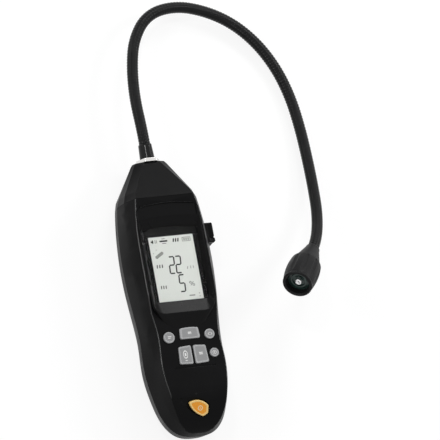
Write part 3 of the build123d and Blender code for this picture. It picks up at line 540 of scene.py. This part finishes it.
@dataclass
class Moulding:
    """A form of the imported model, welded and with softened edges.

    A faceted one has large flat faces, which are joined; edge is the width of the
    rounding of its edges and sharp the angle from which an edge counts. An accent is
    a second finish for the faces that accent_on picks.
    """

    node: str
    body: str
    slot: str
    finish: Finish
    edge: float = 0.0
    sharp: float = 30.0
    faceted: bool = False
    accent: Finish | None = None
    accent_on: Callable[[bpy.types.MeshPolygon], bool] | None = None

    def build(self) -> bpy.types.Object:
        """Copies the node, welds it and smooths it.

        Returns:
            The piece that stands for the node.
        """
        piece = welded(self.node, "_skin", FACET_ANGLE if self.faceted else 0.0)
        if self.edge:
            soften(piece, self.edge, self.sharp)
        smooth(piece, self.sharp)
        even_shade(piece)
        dress(piece, self.finish, self.body, [self.node])
        if self.accent and self.accent_on:
            picked = [face.index for face in piece.data.polygons if self.accent_on(face)]
            add_finish(piece, self.accent, picked)
        return piece


@dataclass
class Gooseneck:
    """The wound neck: fine ribs along a route of equal arcs."""

    headings: tuple[float, ...] = (
        90, 92, 84, 75, 52, 12, -13, -28, -45, -60, -73, -83, -88, -91, -96, -109, -129,
    )
    rises: tuple[float, ...] = (
        0, -2.4, -3.7, -4.6, -5.5, -5.3, -5.2, -5, -4, -2.7, -1.2, 0.6, 2.9, 5.7, 12.6, 20.2, 28,
    )
    start: tuple[float, float, float] = (0.0, 126.35, 22.0)
    arc: float = 25.0
    ribs: int = 21
    profile: tuple[tuple[float, float], ...] = (
        (0.0, 4.16),
        (0.14, 4.36),
        (0.32, 4.48),
        (0.5, 4.5),
        (0.68, 4.48),
        (0.86, 4.36),
        (1.0, 4.16),
    )
    sides: int = 30
    blend_share: float = 0.6
    points: list[Vector] = field(default_factory=list)
    tangents: list[Vector] = field(default_factory=list)

    def __post_init__(self) -> None:
        """Works out where the arcs meet."""
        for heading, rise in zip(self.headings, self.rises):
            turn = math.radians(heading)
            lift = math.radians(rise)
            flat = math.cos(lift)
            tangent = Vector((math.cos(turn) * flat, math.sin(turn) * flat, math.sin(lift)))
            self.tangents.append(tangent)
        self.points.append(Vector(self.start))
        for before, after in zip(self.tangents, self.tangents[1:]):
            bend = before.angle(after)
            chord = 2 * self.arc / bend * math.sin(bend / 2)
            self.points.append(self.points[-1] + (before + after).normalized() * chord)

    def route(self) -> bpy.types.Object:
        """Draws the neck's centre line.

        Returns:
            A curve of joined arcs.
        """
        clear()
        bpy.ops.curve.primitive_bezier_curve_add(location=(0, 0, 0))
        curve = named("neck_route")
        spline = curve.data.splines[0]
        spline.bezier_points.add(len(self.points) - 2)
        spline.resolution_u = 32
        for place, (knot, point) in enumerate(zip(spline.bezier_points, self.points)):
            knot.handle_left_type = "FREE"
            knot.handle_right_type = "FREE"
            knot.co = point * MM
            back = self.reach(max(place - 1, 0))
            ahead = self.reach(min(place, len(self.points) - 2))
            knot.handle_left = (point - self.tangents[place] * back) * MM
            knot.handle_right = (point + self.tangents[place] * ahead) * MM
        return curve

    def reach(self, place: int) -> float:
        """The length of the handles that make one arc.

        Args:
            place: The number of the arc.

        Returns:
            The length in millimetres.
        """
        bend = self.tangents[place].angle(self.tangents[place + 1])
        return 4.0 / 3.0 * math.tan(bend / 4) * self.arc / bend

    def stretch(self, number: int, curve: bpy.types.Object) -> bpy.types.Object:
        """Winds one stretch of the neck, two arcs long, over one hinge.

        Args:
            number: The stretch, counted from 0.
            curve: The neck's centre line.

        Returns:
            The ribbed stretch.
        """
        pitch = 2 * self.arc / self.ribs
        begin = 2 * self.arc * number
        clear()
        bpy.ops.mesh.primitive_circle_add(
            vertices=self.sides,
            radius=self.profile[0][1] * MM,
            location=(begin * MM, 0, 0),
            rotation=(0, math.pi / 2, 0),
        )
        piece = named(f"neck_winding_{number + 1}")
        settle(piece)
        bpy.ops.object.mode_set(mode="EDIT")
        bpy.ops.mesh.select_all(action="SELECT")
        for (low, low_radius), (high, high_radius) in zip(self.profile, self.profile[1:]):
            bpy.ops.mesh.extrude_region_move(
                TRANSFORM_OT_translate={"value": ((high - low) * pitch * MM, 0, 0)}
            )
            grow = high_radius / low_radius
            bpy.ops.transform.resize(value=(1, grow, grow), center_override=(0, 0, 0))
        bpy.ops.object.mode_set(mode="OBJECT")
        array = piece.modifiers.new("ribs", "ARRAY")
        array.count = self.ribs
        array.use_relative_offset = False
        array.use_constant_offset = True
        array.constant_offset_displace = (pitch * MM, 0, 0)
        array.use_merge_vertices = True
        array.merge_threshold = 0.005 * MM
        bpy.ops.object.modifier_apply(modifier=array.name)
        follow = piece.modifiers.new("follow", "CURVE")
        follow.object = curve
        follow.deform_axis = "POS_X"
        bpy.ops.object.modifier_apply(modifier=follow.name)
        bpy.ops.object.mode_set(mode="EDIT")
        bpy.ops.mesh.select_all(action="SELECT")
        bpy.ops.mesh.fill_holes(sides=0)
        bpy.ops.mesh.normals_make_consistent(inside=False)
        bpy.ops.object.mode_set(mode="OBJECT")
        return smooth(piece, 60.0)

    def build(self) -> None:
        """Makes the whole neck, each stretch laid along the route over one hinge."""
        curve = self.route()
        nodes = ["neck_stub"] + [f"neck_link_{place}" for place in range(1, 8)] + ["neck_end"]
        for number in range(8):
            piece = self.stretch(number, curve)
            piece.data.materials.clear()
            piece.data.materials.append(NECK.material())
            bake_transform(piece)
            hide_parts(nodes[number], nodes[number + 1])
            log.info("%s: %d faces", piece.name, len(piece.data.polygons))
        bpy.data.objects.remove(curve)


@dataclass
class DisplayPicture:
    """What the display shows: numbers, symbols and the dark mask round them.

    Places on the display are measured from its centre.
    """

    centre: tuple[float, float] = (0.0, 20.0)
    view_half: tuple[float, float] = (18.4, 26.3)
    plate_half: tuple[float, float] = (23.68, 31.55)
    plate_centre_y: float = 23.8
    plate_lift: float = 0.02
    digit_half: tuple[float, float] = (2.05, 6.7)
    stroke: float = 1.25
    stroke_gap: float = 0.25
    slant: float = 0.06
    numbers: tuple[tuple[int, float, float], ...] = ((2, -2.8, 2.8), (2, 2.6, 2.8), (5, 2.9, -12.4))
    top_row: float = 22.6
    words: tuple[float, float] = (2.6, -14.4)

    def level(self) -> float:
        """The height of the display's front, in millimetres."""
        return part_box("lcd_panel")[1].z / MM

    def bar(
        self, length: float, wide: float, x: float, y: float, turn: float = 0.0
    ) -> bpy.types.Object:
        """Makes one pointed stroke, flat on the display.

        Args:
            length: Its length.
            wide: Its width.
            x: Its place to the right.
            y: Its place up the display.
            turn: Its turn in degrees.

        Returns:
            The stroke.
        """
        clear()
        bpy.ops.mesh.primitive_circle_add(
            vertices=6, radius=wide / 2 * MM, fill_type="NGON", rotation=(0, 0, math.pi / 2)
        )
        piece = settle(named("stroke"))
        for side in (-1, 1):
            bpy.ops.object.mode_set(mode="EDIT")
            bpy.ops.mesh.select_mode(type="VERT")
            bpy.ops.mesh.select_all(action="DESELECT")
            bpy.ops.object.mode_set(mode="OBJECT")
            for vertex in piece.data.vertices:
                vertex.select = vertex.co.x * side > 0.1 * wide * MM
            bpy.ops.object.mode_set(mode="EDIT")
            bpy.ops.transform.translate(value=(side * (length - wide) / 2 * MM, 0, 0))
            bpy.ops.object.mode_set(mode="OBJECT")
        self.thicken(piece)
        piece.rotation_euler = (0, 0, math.radians(turn))
        piece.location = Vector((self.centre[0] + x, self.centre[1] + y, self.level())) * MM
        return settle(piece)

    def thicken(self, piece: bpy.types.Object) -> None:
        """Raises a flat form by the depth of the print.

        Args:
            piece: The form.
        """
        focus(piece)
        bpy.ops.object.mode_set(mode="EDIT")
        bpy.ops.mesh.select_all(action="SELECT")
        bpy.ops.mesh.extrude_region_move(TRANSFORM_OT_translate={"value": (0, 0, PRINT_DEPTH * MM)})
        bpy.ops.mesh.select_all(action="SELECT")
        bpy.ops.mesh.normals_make_consistent(inside=False)
        bpy.ops.object.mode_set(mode="OBJECT")

    def blocks(
        self, length: float, wide: float, x: float, y: float, turn: float, pitch: float
    ) -> list[bpy.types.Object]:
        """Makes three like strokes side by side.

        Args:
            length: The length of each.
            wide: The width of each.
            x: The place of the first to the right.
            y: Their place up the display.
            turn: The turn of each in degrees.
            pitch: The distance from one to the next.

        Returns:
            The strokes.
        """
        return [self.bar(length, wide, x + step * pitch, y, turn) for step in range(3)]

    def digit(self, number: int, place: tuple[float, float]) -> list[bpy.types.Object]:
        """Makes the strokes of one digit.

        Args:
            number: The digit.
            place: Its centre, from the centre of the display.

        Returns:
            Its strokes.
        """
        half_x, half_y = self.digit_half
        strokes = []
        for segment in DIGITS[number]:
            x, y, upright = segment.value
            length = (half_y if upright else 2 * half_x) - self.stroke_gap
            right = place[0] + x * half_x + y * half_y * self.slant
            turn = 90 - math.degrees(self.slant) if upright else 0.0
            strokes.append(self.bar(length, self.stroke, right, place[1] + y * half_y, turn))
        return strokes

    def ring(self, radius: float, wide: float, x: float, y: float) -> bpy.types.Object:
        """Makes a flat ring on the display.

        Args:
            radius: Its middle radius.
            wide: Its width.
            x: Its place to the right.
            y: Its place up the display.

        Returns:
            The ring.
        """
        clear()
        middle = self.level() + PRINT_DEPTH / 2
        bpy.ops.mesh.primitive_torus_add(
            major_radius=radius * MM,
            minor_radius=wide / 2 * MM,
            major_segments=20,
            minor_segments=6,
            location=Vector((self.centre[0] + x, self.centre[1] + y, middle)) * MM,
        )
        piece = named("ring")
        piece.scale = (1, 1, PRINT_DEPTH / wide)
        return settle(piece)

    def mask(self) -> bpy.types.Object:
        """Makes the dark frame printed round the view.

        Returns:
            The frame, with an opening the size of the view.
        """
        clear()
        place = Vector((self.centre[0], self.plate_centre_y, self.level() + self.plate_lift))
        bpy.ops.mesh.primitive_plane_add(size=2, location=place * MM)
        piece = named("display_mask")
        piece.scale = (self.plate_half[0] * MM, self.plate_half[1] * MM, 1)
        settle(piece)
        bpy.ops.object.mode_set(mode="EDIT")
        bpy.ops.mesh.select_all(action="SELECT")
        border = self.plate_half[0] - self.view_half[0]
        bpy.ops.mesh.inset(thickness=border * MM, depth=0)
        bpy.ops.object.mode_set(mode="OBJECT")
        inner = [face for face in piece.data.polygons if face.select][0]
        for index in inner.vertices:
            point = piece.data.vertices[index].co
            half = math.copysign(self.view_half[1], point.y / MM - self.plate_centre_y)
            point.y = (self.centre[1] + half) * MM
        bpy.ops.object.mode_set(mode="EDIT")
        bpy.ops.mesh.delete(type="FACE")
        bpy.ops.object.mode_set(mode="OBJECT")
        self.thicken(piece)
        return piece

    def bold(self) -> list[bpy.types.Object]:
        """Makes the black symbols of the top row.

        Returns:
            Their strokes.
        """
        row = self.top_row
        return [
            self.bar(1.8, 1.5, -16.0, row),
            self.bar(3.0, 1.1, -15.2, row, 90),
            self.bar(2.8, 0.45, -13.2, row, 90),
            self.bar(6.8, 1.5, -6.2, row),
            self.bar(2.8, 0.5, -6.2, row + 1.9),
            self.bar(3.4, 0.5, -5.8, row - 1.9),
            *self.blocks(3.2, 1.2, 2.0, row, 78, 1.9),
        ]

    def soft(self) -> list[bpy.types.Object]:
        """Makes the dark grey forms: the battery, two rows of blocks and a sign.

        Returns:
            Their strokes and rings.
        """
        row = self.top_row
        return [
            self.bar(6.6, 0.45, 12.6, row + 1.5),
            self.bar(6.6, 0.45, 12.6, row - 1.5),
            self.bar(3.0, 0.45, 9.3, row, 90),
            self.bar(3.0, 0.45, 15.9, row, 90),
            *self.blocks(1.8, 1.0, 10.9, row, 90, 1.7),
            self.bar(2.6, 0.5, -12.0, row, 90),
            *self.blocks(3.0, 1.1, -15.0, self.words[0], 84, 2.1),
            *self.blocks(2.9, 1.0, -14.6, self.words[1], 84, 1.9),
            self.bar(4.2, 0.55, 10.9, -13.4, 50),
            self.ring(0.75, 0.45, 9.7, -12.4),
            self.ring(0.75, 0.45, 12.2, -14.4),
        ]

    def faint(self) -> list[bpy.types.Object]:
        """Makes the pale grey forms: the tilted bar and small blocks.

        Returns:
            Their strokes.
        """
        return [
            self.bar(8.2, 2.9, -11.6, 11.6, 32),
            self.bar(1.0, 0.5, -16.2, 13.4, 120),
            self.bar(1.0, 0.5, -13.4, 16.0, 100),
            self.bar(2.4, 0.7, 9.6, -0.4, 70),
            self.bar(2.4, 0.6, 12.2, -0.2, 90),
            self.bar(2.4, 0.6, 14.4, -0.2, 90),
            self.bar(5.0, 1.2, 9.4, -22.8),
            self.bar(1.0, 0.9, 15.6, -21.6, 90),
            self.bar(1.0, 0.9, 15.6, -24.0, 90),
        ]

    def build(self) -> None:
        """Makes the mask, the numbers and the symbols."""
        mask = self.mask()
        strokes = [stroke for number, x, y in self.numbers for stroke in self.digit(number, (x, y))]
        for piece, finish in (
            (mask, MASK_AND_GROOVE_SHADE),
            (joined("display_numbers", strokes), INK),
            (joined("display_symbols", self.bold()), INK),
            (joined("display_soft_symbols", self.soft()), SOFT_INK),
            (joined("display_faint_symbols", self.faint()), FAINT_INK),
        ):
            dress(piece, finish, "housing")


def top_of(mesh: bpy.types.Mesh) -> tuple[Vector, float]:
    """Finds the plane of a key's top.

    Args:
        mesh: The key's mesh.

    Returns:
        The direction it faces, and how far out it lies in that direction.
    """
    faces = [face for face in mesh.polygons if face.normal.z > 0.5]
    up = max(faces, key=lambda face: face.area).normal.normalized()
    return up, max(face.center.dot(up) for face in faces)


def middle_of(node: str, up: Vector, height: float) -> Vector:
    """Finds the point over a key's middle at a height.

    Args:
        node: The key's node.
        up: The direction that its top faces.
        height: How far out the point lies in that direction.

    Returns:
        The point.
    """
    low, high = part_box(node)
    middle = (low + high) / 2
    return middle + up * (height - middle.dot(up))


@dataclass
class KeyCap:
    """A key with a pale softened border and a slightly sunk panel in its top."""

    node: str
    border: float = 0.75
    slope: float = 0.15
    rounding: float = 0.16
    flat_within: float = 0.5
    rounded_from: float = 25.0
    sharp: float = 20.0
    skin: float = 0.02
    finish: Finish = KEY_GREY
    panel: Finish = KEY_PANEL
    slot: str = "key_rubber"

    def build(self) -> bpy.types.Object:
        """Welds the key, softens its rim and sinks the panel.

        Returns:
            The key.
        """
        piece = welded(self.node, "_cap", self.flat_within)
        soften(piece, self.rounding, self.rounded_from)
        up, top = top_of(piece.data)
        least = top - self.skin * MM
        pick_faces(piece, lambda face: face.normal.dot(up) > 0.9999 and face.center.dot(up) > least)
        bpy.ops.mesh.dissolve_faces()
        low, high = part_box(self.node)
        span = min(high.x - low.x, high.y - low.y) / MM
        middle = middle_of(self.node, up, top)
        for margin in (self.border, self.slope):
            share = 1 - 2 * margin / span
            bpy.ops.mesh.inset(thickness=0, depth=0)
            bpy.ops.transform.resize(value=(share, share, share), center_override=middle)
        bpy.ops.transform.translate(value=up * (-PANEL_DEPTH * MM))
        bpy.ops.object.mode_set(mode="OBJECT")
        inner = [face.index for face in piece.data.polygons if face.select]
        smooth(piece, self.sharp)
        even_shade(piece)
        dress(piece, self.finish, self.node, [self.node])
        add_finish(piece, self.panel, inner)
        return piece


def spot_on(where: Matrix, at: tuple[float, float]) -> Matrix:
    """Finds the place of a printed form on a key's panel.

    Args:
        where: The turn and place of the panel.
        at: The form's place on it.

    Returns:
        The turn and place of the form's middle.
    """
    return where @ Matrix.Translation(Vector((at[0], at[1], PRINT_DEPTH / 2)) * MM)


@dataclass(frozen=True)
class Block:
    """A flat printed block with rounded corners: half its sizes, and its place."""

    half: tuple[float, float]
    at: tuple[float, float] = (0.0, 0.0)

    def draw(self, where: Matrix) -> bpy.types.Object:
        """Makes the block.

        Args:
            where: The turn and place of the key's panel.

        Returns:
            The block.
        """
        clear()
        bpy.ops.mesh.primitive_cube_add(size=2)
        piece = named("mark")
        piece.scale = (self.half[0] * MM, self.half[1] * MM, PRINT_DEPTH / 2 * MM)
        settle(piece)
        soften(piece, min(self.half) * 0.5)
        piece.matrix_world = spot_on(where, self.at)
        return settle(piece)


@dataclass(frozen=True)
class Ring:
    """A flat printed ring: its middle radius, width, place, and height for its width."""

    radius: float
    wide: float
    at: tuple[float, float] = (0.0, 0.0)
    squeeze: float = 1.0

    def draw(self, where: Matrix) -> bpy.types.Object:
        """Makes the ring.

        Args:
            where: The turn and place of the key's panel.

        Returns:
            The ring.
        """
        clear()
        bpy.ops.mesh.primitive_torus_add(
            major_radius=self.radius * MM,
            minor_radius=self.wide / 2 * MM,
            major_segments=32,
            minor_segments=8,
        )
        piece = named("mark")
        piece.scale = (1, self.squeeze, PRINT_DEPTH / self.wide)
        settle(piece)
        piece.matrix_world = spot_on(where, self.at)
        return settle(piece)


@dataclass
class KeyMark:
    """The generic mark printed on one key."""

    node: str
    forms: tuple[Block | Ring, ...]
    finish: Finish = KEY_PRINT
    slot: str = "key_rubber"

    def panel(self) -> Matrix:
        """Finds the middle of the key's panel.

        Returns:
            The turn and place of a frame whose third axis points out of the panel.
        """
        up, top = top_of(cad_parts[self.node].data)
        middle = middle_of(self.node, up, top - PANEL_DEPTH * MM)
        side = Vector((1.0, 0.0, 0.0))
        return Matrix.Translation(middle) @ Matrix((side, up.cross(side), up)).transposed().to_4x4()

    def build(self) -> bpy.types.Object:
        """Prints the forms on the key.

        Returns:
            The mark.
        """
        where = self.panel()
        piece = joined(self.node + "_mark", [form.draw(where) for form in self.forms])
        return dress(piece, self.finish, self.node)


KEY_MARKS = (
    KeyMark("key_top", (
        Block((0.35, 1.0), (-1.0, 0.0)),
        Block((0.35, 1.0)),
        Block((0.35, 1.0), (1.0, 0.0)),
    )),
    KeyMark("key_left", (
        Ring(1.7, 0.5, (0.0, 0.4), 1.7),
        Block((0.7, 1.2), (0.0, 0.4)),
        Block((0.9, 0.3), (0.0, -4.4)),
    )),
    KeyMark("key_right", (
        Block((1.5, 0.4), (-0.2, 0.9)),
        Block((1.5, 0.4), (-0.2, -0.3)),
    )),
    KeyMark("key_round_left", (
        Block((1.5, 0.3), (0.3, 0.7)),
        Block((1.1, 0.3), (0.0, -0.5)),
    )),
    KeyMark("key_round_right", (Ring(1.5, 0.45, (0.2, 0.0), 0.6),)),
    KeyMark("key_round_lower", (Ring(1.4, 0.35), Block((0.45, 0.45)))),
    KeyMark("power_key", (
        Ring(1.7, 0.75, (0.9, -0.3)),
        Block((0.45, 0.45), (0.9, -0.3)),
    ), ORANGE_PRINT, "power_plastic"),
)


@dataclass(frozen=True)
class Lamp:
    """A soft square lamp: its place and side in metres, and its power in watts."""

    name: str
    place: tuple[float, float, float]
    side: float
    power: float
    aim: tuple[float, float, float] = (0.03, 0.02, 0.0)

    def build(self) -> None:
        """Adds the lamp and turns it to the detector."""
        clear()
        bpy.ops.object.light_add(type="AREA", location=self.place)
        lamp = bpy.context.object
        lamp.name = self.name
        lamp.data.shape = "SQUARE"
        lamp.data.size = self.side
        lamp.data.energy = self.power
        towards = Vector(self.aim) - Vector(self.place)
        lamp.rotation_euler = towards.to_track_quat("-Z", "Y").to_euler()


LAMPS = (
    Lamp("right_lamp", (1.26, 0.36, 0.90), 0.40, 7.4),
    Lamp("left_lamp", (-1.25, 0.36, 0.92), 0.30, 4.6),
    Lamp("far_lamp", (0.57, 1.30, 0.98), 0.55, 6.8),
    Lamp("low_lamp", (-1.20, 0.90, 0.30), 0.26, 2.0),
    Lamp("line_lamp", (-0.50, 0.55, 1.35), 0.15, 2.4),
)


@dataclass
class Studio:
    """Pale floor, soft lamps and the camera over the detector.

    The camera's right and up directions, its scale in pixels to the millimetre and the
    pixel of one point of the detector set the view.
    """

    right: tuple[float, float, float] = (0.938, -0.176, 0.298)
    up: tuple[float, float, float] = (0.094, 0.958, 0.270)
    scale: float = 1.283
    target: tuple[float, float, float] = (0.0, 20.0, 43.0)
    target_pixel: tuple[float, float] = (176.4, 267.8)
    distance: float = 10000.0
    pixels: float = 440.0
    sensor: float = 36.0
    view_end: float = 40.0
    floor_side: float = 12.0
    floor_drop: float = 0.0002
    floor_grey: float = 0.92
    floor_glow: float = 1.08
    glow_share: float = 0.78
    sky_fill: float = 0.36

    def camera(self) -> None:
        """Places the camera at the photograph's angle."""
        right = Vector(self.right).normalized()
        up = Vector(self.up)
        up = (up - right * up.dot(right)).normalized()
        towards = right.cross(up)
        middle = Vector(self.target)
        middle += right * (self.pixels / 2 - self.target_pixel[0]) / self.scale
        middle += up * (self.target_pixel[1] - self.pixels / 2) / self.scale
        clear()
        bpy.ops.object.camera_add()
        camera = bpy.context.object
        camera.name = "camera"
        turn = Matrix((right, up, towards)).transposed().to_4x4()
        camera.matrix_world = Matrix.Translation((middle + towards * self.distance) * MM) @ turn
        camera.data.sensor_width = self.sensor
        camera.data.lens = self.sensor * self.scale * self.distance / self.pixels
        camera.data.clip_end = self.view_end
        bpy.context.scene.camera = camera

    def floor(self) -> None:
        """Lays the floor, which glows for the rays that meet the background."""
        clear()
        bpy.ops.mesh.primitive_plane_add(size=self.floor_side, location=(0, 0, -self.floor_drop))
        floor = settle(named("floor"))
        made = bpy.data.materials.new("pale_floor")
        made.use_nodes = True
        tree = made.node_tree
        tree.nodes.remove(tree.nodes["Principled BSDF"])
        paint = tree.nodes.new("ShaderNodeBsdfDiffuse")
        paint.inputs["Color"].default_value = (self.floor_grey, self.floor_grey, self.floor_grey, 1.0)
        glow = tree.nodes.new("ShaderNodeEmission")
        glow.inputs["Color"].default_value = (1.0, 1.0, 1.0, 1.0)
        glow.inputs["Strength"].default_value = self.floor_glow
        share = tree.nodes.new("ShaderNodeMath")
        share.operation = "MULTIPLY"
        share.inputs[1].default_value = self.glow_share
        tree.links.new(background_rays(tree), share.inputs[0])
        mix = tree.nodes.new("ShaderNodeMixShader")
        tree.links.new(share.outputs["Value"], mix.inputs["Fac"])
        tree.links.new(paint.outputs["BSDF"], mix.inputs[1])
        tree.links.new(glow.outputs["Emission"], mix.inputs[2])
        tree.links.new(mix.outputs["Shader"], tree.nodes["Material Output"].inputs["Surface"])
        floor.data.materials.append(made)

    def world(self) -> None:
        """Makes the sky white as a background and dimmer as a light."""
        world = bpy.data.worlds.new("pale_sky")
        bpy.context.scene.world = world
        world.use_nodes = True
        tree = world.node_tree
        sky = tree.nodes["Background"]
        sky.inputs["Color"].default_value = (1.0, 1.0, 1.0, 1.0)
        level = tree.nodes.new("ShaderNodeMapRange")
        level.inputs["To Min"].default_value = self.sky_fill
        level.inputs["To Max"].default_value = 1.0
        tree.links.new(background_rays(tree), level.inputs["Value"])
        tree.links.new(level.outputs["Result"], sky.inputs["Strength"])

    def build(self) -> None:
        """Sets up the camera, the floor, the sky and the lamps."""
        bpy.context.scene.view_settings.view_transform = "Standard"
        self.camera()
        self.floor()
        self.world()
        for lamp in LAMPS:
            lamp.build()


@dataclass
class Detector:
    """The whole detector, built sub-assembly by sub-assembly."""

    mouldings: tuple[Moulding, ...] = (
        # The rounded rim of the front half gets the lighter, glossier black: a painted highlight line.
        Moulding("front_housing", "housing", "housing_plastic", HOUSING, accent=RIM_HIGHLIGHT, accent_on=on_rim),
        Moulding("rear_housing", "housing", "housing_plastic", HOUSING),
        # The nose's faces along its parting groove get the darker mask black: painted shade in the
        # groove.
        Moulding(
            "nose_cone", "housing", "housing_plastic", HOUSING,
            edge=0.7, sharp=12.0, faceted=True, accent=MASK_AND_GROOVE_SHADE, accent_on=in_parting,
        ),
        Moulding("battery_door", "housing", "housing_plastic", HOUSING),
        Moulding(
            "display_bezel", "housing", "bezel_plastic", BEZEL, edge=0.35, sharp=20.0, faceted=True
        ),
        Moulding("port_cover", "port_cover", "housing_plastic", HOUSING, edge=0.2, faceted=True),
        Moulding("neck_nut", "housing", "nut_metal", NICKEL, edge=0.25, faceted=True),
        Moulding("neck_sleeve", "housing", "sleeve_plastic", GLOSS),
        Moulding("head_boot", "head", "head_plastic", HEAD),
        Moulding("head_sleeve", "head", "head_plastic", HEAD),
        Moulding("head_ring", "head", "head_plastic", HEAD),
        Moulding("sensor_cap", "head", "sensor_silver", SILVER),
    )
    plain: dict[str, Finish] = field(
        default_factory=lambda: {
            "lcd_panel": DISPLAY,
            "lcd_holder": INNER,
            "main_board": BOARD,
            "power_board": BOARD,
            "head_board": BOARD,
            "keypad_mat": KEY_GREY,
            "buzzer": INNER,
            "earphone_socket": INNER,
            "cells": JACKET,
            "battery_contacts": STEEL,
            "housing_screws": STEEL,
            "door_screw": STEEL,
            "port_pin": GLOSS,
            "neck_lock_nut": NICKEL,
            "neck_ferrule": NICKEL,
            "sensor_disc": SENSOR,
            "sensor_cell": SENSOR,
        }
    )

    def carried(self) -> None:
        """Gives each node that stays as it is its finish."""
        for node, finish in self.plain.items():
            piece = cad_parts[node]
            piece.data.materials.clear()
            piece.data.materials.append(finish.material())
            log.info("%s keeps its form", node)
        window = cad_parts["display_window"]
        window.data.materials.clear()
        window.data.materials.append(ClearPlate().material())

    def build(self) -> None:
        """Builds every sub-assembly in order."""
        for moulding in self.mouldings:
            moulding.build()
        self.carried()
        Gooseneck().build()
        DisplayPicture().build()
        for node in GREY_KEYS:
            KeyCap(node).build()
        KeyCap(
            "power_key", border=1.1, finish=ORANGE_RIM, panel=ORANGE, slot="power_plastic"
        ).build()
        for mark in KEY_MARKS:
            mark.build()


def main() -> None:
    """Builds the detector and the studio."""
    logging.basicConfig(level=logging.INFO, format="%(name)s: %(message)s")
    Studio().build()
    Detector().build()
    clear()


if __name__ == "__main__":
    main()
